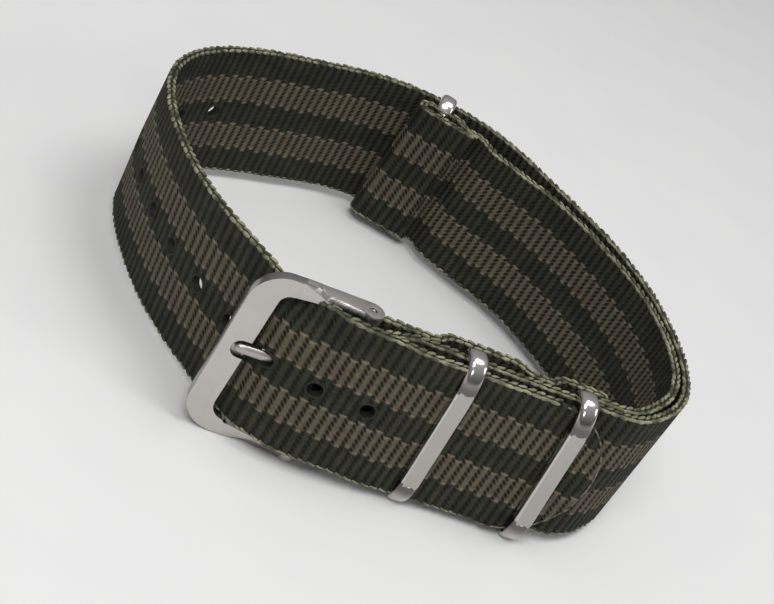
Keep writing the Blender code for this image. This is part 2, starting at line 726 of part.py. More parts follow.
def make_buckle_frame(material, rest):
    """The buckle's one-piece frame: a flat bar, two arms that turn on edge, and their lugs."""
    lug_radius = LUG_HEIGHT / 2
    half = BUCKLE_HALF_HEIGHT
    round_corner, window_corner = BUCKLE_CORNER_RADIUS, WINDOW_CORNER_RADIUS
    front = rounded_box(
        (BUCKLE_OUTER_X, -half), (lug_radius, half), [round_corner, 0, 0, round_corner]
    )
    beyond = lug_radius + CUT_OVERRUN
    window = rounded_box(
        (WINDOW_X, -LUG_INNER_HALF), (beyond, LUG_INNER_HALF), [window_corner, 0, 0, window_corner]
    )
    mesh = plate_mesh("buckle_frame", [front], LUG_HEIGHT + 2 * CUT_OVERRUN)
    mesh.transform(ACROSS_Y)
    frame = add_part("buckle_frame", mesh, material, (0, 0, MID_HEIGHT), rest)
    window_mesh = plate_mesh("window", [window], LUG_HEIGHT + 4 * CUT_OVERRUN)
    window_mesh.transform(ACROSS_Y)
    boolean_with(frame, window_mesh, (0, 0, MID_HEIGHT), rest, "DIFFERENCE")
    bar_low = BAR_FACE_Y
    bar_high = BAR_FACE_Y + BUCKLE_THICKNESS
    outside = BUCKLE_OUTER_X - CUT_OVERRUN
    side = [Vector((outside, bar_high)), Vector((outside, bar_low)), Vector((WINDOW_X, bar_low))]
    side += arc_points((0, 0), lug_radius, -90, 90, 2 * CORNER_STEPS)
    side += [Vector((WINDOW_X, bar_high))]
    side_mesh = plate_mesh("buckle_side", [side], 2 * half + 2 * CUT_OVERRUN)
    boolean_with(frame, side_mesh, (0, 0, MID_HEIGHT), rest, "INTERSECT")
    bore = cylinder_mesh("pivot_hole", PIVOT_DIAMETER / 2 + PIVOT_CLEARANCE, 2 * half + 2 * CUT_OVERRUN)
    boolean_with(frame, bore, (0, 0, MID_HEIGHT), rest, "DIFFERENCE")
    cut_tongue_notch(frame, rest)
    return frame


def cut_tongue_notch(frame, rest):
    """The round-ended recess in the bar's face that the tongue's tip lies in."""
    half = TONGUE_WIDTH / 2 + NOTCH_CLEARANCE
    end_x = -TONGUE_LENGTH - NOTCH_CLEARANCE
    outline = rounded_box((end_x, -half), (WINDOW_X + CUT_OVERRUN, half), [half, 0, 0, half])
    mesh = plate_mesh("tongue_notch", [outline], 2 * NOTCH_DEPTH)
    mesh.transform(ACROSS_Y)
    boolean_with(frame, mesh, (0, BAR_FACE_Y, MID_HEIGHT), rest, "DIFFERENCE")


def make_tongue(material, rest):
    """The tongue: an eye round the spring bar and a shank that tapers to the buckle bar."""
    eye_radius = BARREL_DIAMETER / 2 + TONGUE_EYE_CLEARANCE + TONGUE_EYE_WALL
    bore_radius = BARREL_DIAMETER / 2 + TONGUE_EYE_CLEARANCE
    mouth = math.degrees(math.asin(TONGUE_THICKNESS / 2 / eye_radius))
    outline = arc_points((0, 0), eye_radius, 180 + mouth, 540 - mouth, 2 * ROUND_SIDES)
    tip_half = TONGUE_TIP_THICKNESS / 2
    tip_centre = (-TONGUE_LENGTH + tip_half, TONGUE_TIP_Y)
    outline += arc_points(tip_centre, tip_half, 90, 270, CORNER_STEPS)
    bore = arc_points((0, 0), bore_radius, 0, 360, ROUND_SIDES)[:-1]
    mesh = plate_mesh("buckle_tongue", [outline, bore], TONGUE_WIDTH)
    for vertex in mesh.vertices:
        along = min(max(-vertex.co.x - eye_radius, 0) / (TONGUE_LENGTH - eye_radius), 1)
        vertex.co.z *= 1 - along * (1 - TONGUE_TIP_WIDTH_SHARE)
    return add_part("buckle_tongue", mesh, material, (0, 0, MID_HEIGHT), rest)


def make_barrel(material, rest):
    """The spring bar's tube, with both ends crimped in to hold the pistons."""
    outer = BARREL_DIAMETER / 2
    bore = outer - BARREL_WALL
    mouth = PIVOT_DIAMETER / 2 + PIVOT_CLEARANCE
    half = BARREL_HALF_LENGTH
    shoulder = half - BARREL_CRIMP
    profile = [
        (outer, half),
        (outer, -half),
        (mouth, -half),
        (mouth, -shoulder),
        (bore, -shoulder),
        (bore, shoulder),
        (mouth, shoulder),
        (mouth, half),
    ]
    mesh = bpy.data.meshes.new("spring_bar_barrel")
    edges = [(index, (index + 1) % len(profile)) for index in range(len(profile))]
    mesh.from_pydata([(radius, 0, height) for radius, height in profile], edges, [])
    barrel = add_part("spring_bar_barrel", mesh, material, (0, 0, MID_HEIGHT), rest)
    turning = barrel.modifiers.new("turned", "SCREW")
    turning.steps = ROUND_SIDES
    turning.render_steps = ROUND_SIDES
    turning.use_merge_vertices = True
    turning.merge_threshold = WELD_DISTANCE
    return barrel


def piston_radius():
    return BARREL_DIAMETER / 2 - BARREL_WALL - PIVOT_CLEARANCE


def make_bar_tip(name, sign, material, rest):
    """One sprung tip: a piston held inside the barrel and the pivot that enters the lug."""
    shoulder = BARREL_HALF_LENGTH - BARREL_CRIMP - PIVOT_CLEARANCE
    tip_end = BUCKLE_HALF_HEIGHT - PIVOT_RECESS
    piston = cylinder_mesh(name, piston_radius(), PISTON_LENGTH)
    piston.transform(Matrix.Translation((0, 0, sign * (shoulder - PISTON_LENGTH / 2))))
    tip = add_part(name, piston, material, (0, 0, MID_HEIGHT), rest)
    start = shoulder - PISTON_LENGTH / 2
    pivot = cylinder_mesh("pivot", PIVOT_DIAMETER / 2, tip_end - start)
    boolean_with(tip, pivot, (0, 0, MID_HEIGHT + sign * (tip_end + start) / 2), rest, "UNION")
    return tip


def make_bar_spring(material, rest):
    """The coil between the two pistons, inside the barrel."""
    radius = piston_radius() - SPRING_WIRE / 2
    piston_face = BARREL_HALF_LENGTH - BARREL_CRIMP - PIVOT_CLEARANCE - PISTON_LENGTH
    half = piston_face - SPRING_END_GAP - SPRING_WIRE / 2
    turns = 2 * half / SPRING_PITCH
    count = round(turns * SPRING_POINTS_PER_TURN)
    curve = bpy.data.curves.new("spring_bar_spring", "CURVE")
    curve.dimensions = "3D"
    curve.bevel_depth = SPRING_WIRE / 2
    curve.bevel_resolution = 1
    curve.use_fill_caps = True
    spline = curve.splines.new("POLY")
    spline.points.add(count)
    for index, point in enumerate(spline.points):
        place = flat_vector(math.tau * index / SPRING_POINTS_PER_TURN) * radius
        point.co = (*place, -half + 2 * half * index / count, 1)
    holder = bpy.data.objects.new("spring_holder", curve)
    bpy.context.scene.collection.objects.link(holder)
    mesh = bpy.data.meshes.new_from_object(holder.evaluated_get(bpy.context.evaluated_depsgraph_get()))
    bpy.data.objects.remove(holder)
    weld_mesh(mesh)
    print("spring gap between turns", round((SPRING_PITCH - SPRING_WIRE) / MM, 3), "mm")
    return add_part("spring_bar_spring", mesh, material, (0, 0, MID_HEIGHT), rest)


def settle_on_floor(rest):
    """Moves the whole strap so that its box stands centred on the origin at Z = 0."""
    bpy.context.view_layer.update()
    depsgraph = bpy.context.evaluated_depsgraph_get()
    corners = []
    for part in bpy.data.collections["watch_strap"].objects:
        shown = part.evaluated_get(depsgraph)
        corners += [shown.matrix_world @ vertex.co for vertex in shown.data.vertices]
    low = Vector([min(corner[axis] for corner in corners) for axis in range(3)])
    high = Vector([max(corner[axis] for corner in corners) for axis in range(3)])
    rest.location = (-(low.x + high.x) / 2, -(low.y + high.y) / 2, -low.z)
    print("spring bar axis at", [round(value / MM, 4) for value in rest.location], "mm")
    print("overall size", [round(value / MM, 3) for value in high - low], "mm")


def build_strap():
    for thing in list(bpy.data.objects):
        bpy.data.objects.remove(thing)
    for name in ("watch_strap", "cutters"):
        collection = bpy.data.collections.new(name)
        bpy.context.scene.collection.children.link(collection)
    rest = bpy.data.objects.new("strap_rest", None)
    bpy.context.scene.collection.objects.link(rest)
    webbing = make_material("striped_nylon", (0.030, 0.032, 0.022), 0.9, 0.0)
    thread = make_material("dark_thread", (0.012, 0.013, 0.010), 0.8, 0.0)
    steel = make_material("satin_steel", (0.55, 0.53, 0.50), 0.35, 1.0)
    bright = make_material("bright_steel", (0.62, 0.61, 0.59), 0.2, 1.0)
    make_long_strap(webbing, rest)
    make_tail(webbing, rest)
    make_short_strap(webbing, rest)
    make_seams(thread, rest)
    make_buckle_frame(steel, rest)
    make_tongue(steel, rest)
    make_barrel(bright, rest)
    make_bar_tip("spring_bar_tip_upper", 1, bright, rest)
    make_bar_tip("spring_bar_tip_lower", -1, bright, rest)
    make_bar_spring(bright, rest)
    make_keepers(steel, rest)
    make_end_ring(steel, rest)
    settle_on_floor(rest)


build_strap()
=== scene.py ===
"""A striped nylon watch strap, buckled into a loop and standing on its edge on a pale floor.

Webbing is made the way it is used: it is woven flat along X, punched and stitched flat, and only
then bent along its route round the loop. Plan places are in millimetres from the spring bar.
"""

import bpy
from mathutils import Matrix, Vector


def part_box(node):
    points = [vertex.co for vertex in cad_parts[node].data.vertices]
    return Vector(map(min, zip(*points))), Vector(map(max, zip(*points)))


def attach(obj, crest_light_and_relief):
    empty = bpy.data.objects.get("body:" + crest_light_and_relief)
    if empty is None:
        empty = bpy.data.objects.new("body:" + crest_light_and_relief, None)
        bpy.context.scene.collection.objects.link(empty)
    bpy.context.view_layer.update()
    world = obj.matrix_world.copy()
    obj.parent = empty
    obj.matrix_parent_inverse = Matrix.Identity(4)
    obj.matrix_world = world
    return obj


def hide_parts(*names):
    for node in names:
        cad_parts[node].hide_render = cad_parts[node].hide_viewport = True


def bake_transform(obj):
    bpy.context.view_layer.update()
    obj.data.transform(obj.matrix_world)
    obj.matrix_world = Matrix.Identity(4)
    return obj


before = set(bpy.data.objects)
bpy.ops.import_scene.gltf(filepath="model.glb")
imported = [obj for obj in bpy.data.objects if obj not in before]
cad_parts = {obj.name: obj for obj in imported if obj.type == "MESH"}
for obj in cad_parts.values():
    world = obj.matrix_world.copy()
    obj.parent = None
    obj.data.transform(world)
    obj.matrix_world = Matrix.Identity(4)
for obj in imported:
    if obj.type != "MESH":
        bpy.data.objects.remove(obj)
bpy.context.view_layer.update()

import math

import bmesh
import bpy
from mathutils import Matrix, Vector, noise
from mathutils.geometry import interpolate_bezier

# A fixed seed, so that the knitted edges wander in the same way on each run
noise.seed_set(1)

MM = 0.001
WIDTH = 22.0 * MM
THICKNESS = 1.2 * MM
RIB_PITCH = 1.33 * MM
RIB_COLUMNS = 22
# Shares of the webbing's thickness that are left in the grooves and on the ribs' shoulders
VALLEY = 0.74
SHOULDER = 0.93
EDGE_ROUNDING = 0.42 * MM
LINK_SIZE = (0.84 * MM, 0.25 * MM, 0.27 * MM)
LINK_SPREAD = 0.34 * MM
LINK_TURN = math.radians(13)
LINK_TILT = math.radians(9)
LINK_INSET = 0.12 * MM
LOWER_LINK_LIFT = 0.14 * MM
LINK_WANDER = 0.12 * MM
LINK_WANDER_LENGTH = 1.1 * MM
HOLE_RADIUS = 1.1 * MM
HOLE_RIM = 0.17 * MM
HOLE_SPACING = 7.1 * MM
TONGUE_HOLE_STRETCH = 1.4
TONGUE_HOLE_SHIFT = 0.1 * MM
TONGUE_LEVEL = 0.9 * MM
SLOT_LENGTH = 9.8 * MM
SLOT_HEIGHT = 2.4 * MM
TAIL_TIP = 9.8 * MM
TAIL_PART = 4.6 * MM
TAIL_SETTLED = 12 * MM
RING_DEPTH = 6.0 * MM
RING_HEIGHT = 25.2 * MM
RING_WIDTH = 2.75 * MM
RING_WALL = 1.2 * MM
RING_CROWN = 0.2 * MM
RING_FLAT = 8.1 * MM
RING_LOBE = 1.3 * MM
# Degrees by which each ring leans along the webbing and tilts across it
RING_LEANS = {"keeper_near": -2.4, "keeper_far": -4.6, "end_ring": 0.0}
RING_TILTS = {"keeper_near": 0.0, "keeper_far": 0.0, "end_ring": -2.5}
STITCH_HEIGHTS = [(-9.0 + 3.6 * index) * MM for index in range(6)]
STITCH_RADIUS = 0.17 * MM
GATHER_DEPTH = 0.34 * MM
GATHER_REACH = 0.9 * MM
HALF_OF_TWO_LAYERS = 1.35 * MM
HALF_OF_THREE_LAYERS = 2.1 * MM
# Length of the handles that draw a quarter of an ellipse, for a radius of 1
QUARTER_PULL = 0.5523
CURVE_STEPS = 48
WELD = 0.001 * MM
# Places of the selvedge and of melted nylon among a strap's materials
SELVEDGE_SLOT = 1
MELTED_SLOT = 2

barrel_low, barrel_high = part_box("spring_bar_barrel")
PIN = (barrel_low + barrel_high) / 2

# Stations along each length of webbing: plan place and heading in degrees
FOLD_ROUTE = [
    (34.3, 2.75, 170), (33.0, 2.95, 174), (31.0, 3.05, 180), (28.6, 3.05, 180),
    (25.6, 1.55, 180), (24.0, 1.55, 180), (21.0, 3.05, 180),
    (12.2, 3.05, 180), (9.2, 1.55, 180), (7.6, 1.55, 180), (1.8, 1.65, 180), (0, 1.65, 180),
    (-1.65, 0, 270), (0, -1.65, 360), (0.9, -1.65, 360), (7.6, 0.05, 360), (36.6, 0.05, 360),
    (45.14, 4.98, 405), (50.6, 20.53, 450), (40.71, 48.73, 490), (31.71, 59.45, 490),
    (21.78, 66.09, 520), (19.23, 66.57, 529), (16.53, 67.09, 529), (12.43, 67.3, 541),
    (0.67, 64.47, 564), (-12.81, 58.42, 568), (-27.3, 39.03, 628), (-24.02, 23.42, 650),
    (-15.51, 8.68, 669),
]
TAIL_ROUTE = [
    (-15.51, 8.68, -51), (-8.6, -0.19, -46), (-2.9, -2.6, -8), (5.0, -2.95, 2),
    (12.8, -2.3, 5), (17.0, -1.95, 3), (22.0, -1.75, 0), (37.5, -1.75, 0),
]
SHORT_ROUTE = [
    (32.9, 1.55, 0), (36.6, 1.55, 0), (43.94, 6.18, 45), (48.9, 20.53, 90), (44.29, 37.82, 121),
    (32.61, 51.69, 148), (25.2, 57.68, 140), (21.79, 62.18, 163), (20.26, 62.65, 163),
    (18.67, 64.71, 163), (14.5, 65.97, 163), (12.62, 64.98, 253), (13.62, 63.1, 343),
    (21.36, 60.75, 343),
]
RING_TURN = math.radians(163)
RING_SEAM = (20.81, 61.70)
NEAR_SEAM = 8.4
MIDDLE_SEAM = 24.8
FAR_SEAM = 33.4
# Where the tail crosses the tongue
CROSSING = (-8.6, -0.19)
# Rise of the tail, its narrowing on each side and the curl of its upper edge, each by distance past
# the tongue, and how much of the curl there is by height above the middle, all in millimetres
TAIL_RISE = [(-8, 0.0), (-2, 0.4), (5, 0.95), (12, 0.85), (20, 0.0), (30, -0.3)]
TAIL_NARROWING = [(-7, 0.0), (-3, 0.45), (2, 0.45), (6, 0.0)]
TAIL_CURL = [(-4, 0.0), (1, 1.5), (3, 1.3), (6.5, 0.0)]
CURLED_HEIGHTS = [(6.0, 0.0), (10.5, 1.0)]
# The sewn end's shear, shift and tilt, and the left wall's lean, in millimetres over the width,
# with where each fades in plan
FLAP_SHEAR = 1.3
FLAP_SHIFT = 1.3
FLAP_TILT = 0.9
FLAP_START = 50
FLAP_FADE = [(21, 1), (33, 0)]
LEFT_LEAN = 1.6
LEFT_FADE = [(-22, 1), (-8, 0)]
UPPER_FADE = [(20, 1), (42, 0)]
LOWER_FADE = [(32, 1), (52, 0)]


def place(x, y):
    """A point at the middle of the webbing's height, from plan millimetres."""
    return Vector((PIN.x + x * MM, PIN.y + y * MM, PIN.z))


# Hand tools


def eased(position, stops):
    """A smooth passage through amounts given at positions."""
    if position <= stops[0][0]:
        return stops[0][1]
    for (start, low), (end, high) in zip(stops, stops[1:]):
        if position <= end:
            share = (position - start) / (end - start)
            return low + (high - low) * share * share * (3 - 2 * share)
    return stops[-1][1]


def alone(piece):
    """Makes one piece the only selected and active one."""
    if bpy.context.object and bpy.context.object.mode != "OBJECT":
        bpy.ops.object.mode_set(mode="OBJECT")
    bpy.ops.object.select_all(action="DESELECT")
    piece.select_set(True)
    bpy.context.view_layer.objects.active = piece


def open_piece(piece):
    alone(piece)
    bpy.ops.object.mode_set(mode="EDIT")
    bpy.ops.mesh.select_all(action="DESELECT")


def close_piece():
    bpy.ops.object.mode_set(mode="OBJECT")


def choose(piece, kind, test):
    """Selects only the vertices, edges or faces of the open piece that pass a test."""
    bpy.ops.mesh.select_mode(type={"verts": "VERT", "edges": "EDGE", "faces": "FACE"}[kind])
    bpy.ops.mesh.select_all(action="DESELECT")
    shape = bmesh.from_edit_mesh(piece.data)
    shape.normal_update()
    for element in getattr(shape, kind):
        if test(element):
            element.select_set(True)
    shape.select_flush_mode()
    bmesh.update_edit_mesh(piece.data)


def runs_along(axis, least=0.0):
    """A test for edges parallel to an axis and longer than a length."""
    def test(edge):
        run = edge.verts[1].co - edge.verts[0].co
        return run.length > least and abs(run[axis]) > 0.99 * run.length
    return test


def settle(piece):
    """Applies a piece's own place, turn and scale to its mesh."""
    alone(piece)
    bpy.ops.object.transform_apply(location=True, rotation=True, scale=True)


def apply_modifier(piece, kind, **settings):
    alone(piece)
    modifier = piece.modifiers.new(kind.lower(), kind)
    for name, value in settings.items():
        setattr(modifier, name, value)
    bpy.ops.object.modifier_apply(modifier=modifier.name)


def join(pieces, name):
    alone(pieces[0])
    for piece in pieces[1:]:
        piece.select_set(True)
    if len(pieces) > 1:
        bpy.ops.object.join()
    pieces[0].name = name
    pieces[0].data.name = name
    return pieces[0]


def copy_of(piece, name):
    twin = piece.copy()
    twin.data = piece.data.copy()
    twin.name = name
    bpy.context.scene.collection.objects.link(twin)
    return twin


def primitive(add, **settings):
    """A new primitive, with its place and turn taken up by its mesh."""
    bpy.ops.object.select_all(action="DESELECT")
    add(**settings)
    piece = bpy.context.object
    settle(piece)
    return piece


def block(name, middle, size):
    """A box primitive at a place, ready to be shaped."""
    bpy.ops.object.select_all(action="DESELECT")
    bpy.ops.mesh.primitive_cube_add(size=1, location=middle)
    piece = bpy.context.object
    piece.name = name
    piece.scale = size
    settle(piece)
    return piece


def rod(radius, length, middle, turn=(0, 0, 0), sides=24):
    return primitive(
        bpy.ops.mesh.primitive_cylinder_add, vertices=sides, radius=radius, depth=length,
        location=middle, rotation=turn,
    )


def round_curve(name, radius):
    """A curve with a round section and closed ends, and its spline."""
    curve = bpy.data.curves.new(name, "CURVE")
    curve.dimensions = "3D"
    curve.bevel_depth = radius
    curve.bevel_resolution = 2
    curve.use_fill_caps = True
    return curve, curve.splines.new("BEZIER")


def outline_curve(name, points):
    """A closed flat curve through points."""
    curve = bpy.data.curves.new(name, "CURVE")
    curve.dimensions = "2D"
    spline = curve.splines.new("POLY")
    spline.points.add(len(points) - 1)
    spline.use_cyclic_u = True
    for knot, (x, y) in zip(spline.points, points):
        knot.co = (x, y, 0, 1)
    return curve


def mesh_from(name, curve):
    """A mesh piece from a curve."""
    holder = bpy.data.objects.new(name, curve)
    bpy.context.scene.collection.objects.link(holder)
    alone(holder)
    bpy.ops.object.convert(target="MESH")
    return bpy.context.object


def face_outward(piece, weld=False):
    """Turns all faces outward, once points that meet are welded where that is asked."""
    open_piece(piece)
    bpy.ops.mesh.select_all(action="SELECT")
    if weld:
        bpy.ops.mesh.remove_doubles(threshold=WELD)
    bpy.ops.mesh.normals_make_consistent(inside=False)
    close_piece()


def repeat_along(piece, pitch, count, **settings):
    """Repeats a piece along X at a pitch."""
    apply_modifier(
        piece, "ARRAY", fit_type="FIXED_COUNT", count=count, use_relative_offset=False,
        use_constant_offset=True, constant_offset_displace=(pitch, 0, 0), **settings,
    )


def cut(piece, cutter, operation="DIFFERENCE"):
    """Cuts a piece with another and removes the cutter. New faces keep the cutter's material."""
    apply_modifier(
        piece, "BOOLEAN", object=cutter, operation=operation, solver="EXACT", material_mode="TRANSFER"
    )
    bpy.data.objects.remove(cutter)


def smooth(piece, degrees):
    alone(piece)
    bpy.ops.object.shade_smooth_by_angle(angle=math.radians(degrees))


# Materials


class Socket:
    """A value in a material, so that shader maths reads as plain arithmetic."""

    def __init__(self, finish, output):
        self.finish = finish
        self.output = output

    def _math(self, operation, *values):
        return self.finish.add("ShaderNodeMath", {"operation": operation}, *values)

    def __add__(self, other):
        return self._math("ADD", self, other)

    def __radd__(self, other):
        return self._math("ADD", other, self)

    def __sub__(self, other):
        return self._math("SUBTRACT", self, other)

    def __rsub__(self, other):
        return self._math("SUBTRACT", other, self)

    def __mul__(self, other):
        return self._math("MULTIPLY", self, other)

    def __rmul__(self, other):
        return self._math("MULTIPLY", other, self)

    def __truediv__(self, other):
        return self._math("DIVIDE", self, other)

    def __mod__(self, other):
        return self._math("FLOORED_MODULO", self, other)

    def __abs__(self):
        return self._math("ABSOLUTE", self)

    def floor(self):
        return self._math("FLOOR", self)

    def sine(self):
        return self._math("SINE", self)

    def step(self, start, end):
        """0 below start, 1 above end, smooth between."""
        settings = {"interpolation_type": "SMOOTHSTEP"}
        return self.finish.add("ShaderNodeMapRange", settings, self, start, end, 0.0, 1.0)


class Finish:
    """A material in the making."""

    def __init__(self, name, **constants):
        self.material = bpy.data.materials.new(name)
        self.material.use_nodes = True
        self.nodes = self.material.node_tree.nodes
        self.links = self.material.node_tree.links
        self.shader = self.nodes["Principled BSDF"]
        for socket, value in constants.items():
            self.shader.inputs[socket.replace("_", " ")].default_value = value

    def add(self, kind, settings, *values, out=0, **named):
        """One node: its settings, then what goes into its sockets, by order or by name."""
        node = self.nodes.new(kind)
        for name, value in settings.items():
            setattr(node, name, value)
        sockets = list(zip(node.inputs, values))
        sockets += [(node.inputs[name], value) for name, value in named.items()]
        for socket, value in sockets:
            if isinstance(value, Socket):
                self.links.new(value.output, socket)
            elif value is not None:
                socket.default_value = value
        return Socket(self, node.outputs[out])

    def place(self):
        return self.add("ShaderNodeTexCoord", {}, out="Object")

    def surface(self):
        """Distance along the webbing in ribs and across it in millimetres from its middle."""
        flat = self.add("ShaderNodeUVMap", {"uv_map": "UVMap"})
        along = self.add("ShaderNodeSeparateXYZ", {}, flat, out="X")
        across = self.add("ShaderNodeSeparateXYZ", {}, flat, out="Y")
        return along, across

    def noise(self, scale, detail, stretch=(1, 1, 1)):
        spread = self.add("ShaderNodeMapping", {}, self.place(), Scale=stretch)
        return self.add("ShaderNodeTexNoise", {}, Vector=spread, Scale=scale, Detail=detail)

    def blend(self, factor, first, second, kind="MIX"):
        """Mixes two colours. Sockets 0, 6 and 7 of the node are the factor and the colours."""
        node = self.nodes.new("ShaderNodeMix")
        node.data_type = "RGBA"
        node.blend_type = kind
        for index, value in ((0, factor), (6, first), (7, second)):
            if isinstance(value, Socket):
                self.links.new(value.output, node.inputs[index])
            elif index == 0:
                node.inputs[index].default_value = value
            else:
                node.inputs[index].default_value = (*value, 1)
        return Socket(self, node.outputs[2])

    def toned(self, colour, tone):
        """A colour made darker or lighter by a tone."""
        shade = self.add("ShaderNodeCombineColor", {}, tone, tone, tone)
        return self.blend(1.0, colour, shade, "MULTIPLY")

    def feed(self, **sockets):
        for name, value in sockets.items():
            self.links.new(value.output, self.shader.inputs[name.replace("_", " ")])

    def relief(self, height, distance, strength):
        bump = self.add("ShaderNodeBump", {}, Height=height, Distance=distance, Strength=strength)
        self.feed(Normal=bump)


def nylon_webbing():
    """Ribbed webbing, dark green-black with two taupe stripes whose edges step from rib to rib, with
    painted shade in the grooves' yarn gaps and painted light on the rib crests.
    """
    finish = Finish("striped_nylon_webbing", Roughness=0.75, Specular_IOR_Level=0.16)
    along, across = finish.surface()
    odd = along.floor() % 2.0
    crest = ((along % 1.0) * math.pi).sine()
    groove = (along + 0.5) % 1.0 - 0.5
    odd_groove = (along + 0.5).floor() % 2.0
    yarn_pitch = 0.75
    yarn = (across / yarn_pitch + odd_groove * 0.5 + groove * 1.5) % 1.0
    gap = (1.0 - abs(yarn - 0.5) * 2.0).step(0.1, 0.65)
    pit = gap * (1.0 - abs(groove) * 2.0).step(0.28, 0.82)
    crest_light_and_relief = crest.step(0.0, 0.85)
    wander = finish.noise(900.0, 2.0) * 0.3 - 0.15
    edge = abs(across + wander * 0.6) + odd * 0.5 - 0.25
    stripe_start, stripe_end, blur = 2.0, 6.5, 0.12
    inside = edge.step(stripe_start, stripe_start + blur)
    outside = edge.step(stripe_end, stripe_end + blur)
    stripe = inside * (1.0 - outside)
    rim = (1.0 - abs(edge - 2.25)).step(0.7, 0.9) + (1.0 - abs(edge - 6.35)).step(0.7, 0.9)
    patches = finish.noise(330.0, 3.0)
    fibres = finish.noise(2600.0, 2.0)
    dark = finish.blend(patches.step(0.35, 0.7), (0.021, 0.023, 0.015), (0.033, 0.033, 0.023))
    taupe = finish.blend(patches.step(0.3, 0.7), (0.086, 0.068, 0.050), (0.094, 0.082, 0.054))
    colour = finish.blend(stripe, dark, taupe)
    # Painted shade: darker in the gaps between yarns along the grooves
    pit_shade = 1.0 - pit * (0.5 + 0.32 * stripe)
    rimmed = 1.0 + 0.55 * rim * stripe
    # Painted light and shade: the ribs' crests lighter than the grooves
    tone = (0.6 + 0.52 * crest_light_and_relief) * pit_shade * (0.5 + fibres) * rimmed
    finish.feed(Base_Color=finish.toned(colour, tone))
    finish.relief((1.0 - pit) * (0.6 + 0.4 * crest_light_and_relief) + fibres * 0.15, 0.2 * MM, 0.9)
    return finish.material


def selvedge_thread():
    """The light olive thread that is knitted along both edges."""
    finish = Finish("olive_selvedge_thread", Roughness=0.65, Specular_IOR_Level=0.2)
    ply = finish.noise(1500.0, 2.0, stretch=(1, 1, 2.4))
    patches = finish.noise(420.0, 2.0)
    colour = finish.blend(patches.step(0.35, 0.65), (0.07, 0.075, 0.042), (0.3, 0.3, 0.2))
    finish.feed(Base_Color=finish.toned(colour, 0.25 + 1.1 * ply))
    finish.relief(ply, 0.12 * MM, 0.7)
    return finish.material


def melted_nylon():
    finish = Finish("melted_nylon", Specular_IOR_Level=0.2)
    grain = finish.noise(1400.0, 3.0)
    finish.feed(
        Base_Color=finish.blend(grain, (0.008, 0.008, 0.006), (0.026, 0.027, 0.019)),
        Roughness=grain * 0.3 + 0.45,
    )
    finish.relief(grain, 0.1 * MM, 0.8)
    return finish.material


def melted_bead():
    """The thin pale line where the cut end of the webbing was melted."""
    finish = Finish("melted_end_bead", Specular_IOR_Level=0.3, Roughness=0.5)
    grain = finish.noise(1800.0, 2.0)
    colour = finish.blend(grain.step(0.4, 0.6), (0.030, 0.028, 0.021), (0.17, 0.15, 0.12))
    finish.feed(Base_Color=colour)
    finish.relief(grain, 0.08 * MM, 0.8)
    return finish.material


def sewing_thread():
    finish = Finish("dark_sewing_thread", Specular_IOR_Level=0.15, Roughness=0.7)
    ply = finish.noise(3200.0, 2.0, stretch=(1, 1, 0.4))
    finish.feed(Base_Color=finish.blend(ply, (0.008, 0.009, 0.006), (0.030, 0.031, 0.023)))
    finish.relief(ply, 0.06 * MM, 0.8)
    return finish.material


def steel(name, colour, roughness, grain_depth, grain_stretch):
    """Stainless steel with fine grinding marks and a little wear."""
    finish = Finish(name, Metallic=1.0)
    marks = finish.noise(2400.0, 3.0, stretch=grain_stretch)
    cloud = finish.noise(160.0, 2.0)
    darker = tuple(0.92 * value for value in colour)
    finish.feed(
        Base_Color=finish.blend(cloud.step(0.3, 0.7), darker, colour),
        Roughness=roughness + (marks - 0.5) * 0.16 + (cloud - 0.5) * 0.06,
    )
    finish.relief(marks, grain_depth, 0.5)
    return finish.material


def polished_ring_end():
    """Polished steel of the rings' domed ends, painted deeper in tone where the dome leaves the flat,
    as a painted dark reflection.
    """
    finish = Finish("polished_ring_end", Metallic=1.0)
    height = abs(finish.add("ShaderNodeSeparateXYZ", {}, finish.place(), out="Z") - PIN.z) / MM
    cloud = finish.noise(300.0, 2.0)
    # Painted reflection: the dome is coloured dark just above the flat, where it would mirror dark
    # surroundings
    painted_dark_reflection = height.step(7.7, 8.0) * (1.0 - (height + cloud * 0.8).step(9.2, 12.0))
    finish.feed(
        Base_Color=finish.blend(painted_dark_reflection, (0.62, 0.60, 0.58), (0.155, 0.14, 0.135)),
        Roughness=0.1 + cloud * 0.1,
    )
    return finish.material


WEBBING = nylon_webbing()
SELVEDGE = selvedge_thread()
MELTED = melted_nylon()
BEAD = melted_bead()
THREAD = sewing_thread()
SATIN = steel("satin_steel_face", (0.60, 0.575, 0.545), 0.36, 0.012 * MM, (0.25, 1, 1))
RING_SATIN = steel("satin_ring_face", (0.48, 0.45, 0.43), 0.34, 0.012 * MM, (1, 1, 0.25))
POLISHED = steel("polished_steel_edge", (0.62, 0.60, 0.58), 0.13, 0.002 * MM, (1, 1, 1))
# Painted dark reflection: the buckle's polished sides, facets and window walls get a darker steel
# colour than its faces
FACET_PAINTED_DARK = steel("polished_buckle_side_painted_dark", (0.40, 0.375, 0.36), 0.24, 0.003 * MM, (1, 1, 1))
RING_END = polished_ring_end()


def paint(piece, *materials):
    piece.data.materials.clear()
    for material in materials:
        piece.data.materials.append(material)


# Routes


def route_samples(stations):
    """Bezier segments through the stations, and close points along them with their distances."""
    segments = []
    for (ax, ay, a), (bx, by, b) in zip(stations, stations[1:]):
        start, end = place(ax, ay), place(bx, by)
        turn = math.radians(b - a)
        handle = (end - start).length / (3 * math.cos(turn / 4) ** 2)
        lead = Vector((math.cos(math.radians(a)), math.sin(math.radians(a)), 0)) * handle
        trail = Vector((math.cos(math.radians(b)), math.sin(math.radians(b)), 0)) * handle
        segments.append((start, start + lead, end - trail, end))
    points = []
    for segment in segments:
        points += interpolate_bezier(*segment, CURVE_STEPS)[:-1]
    points.append(segments[-1][3])
    distances = [0.0]
    for first, second in zip(points, points[1:]):
        distances.append(distances[-1] + (second - first).length)
    return segments, points, distances


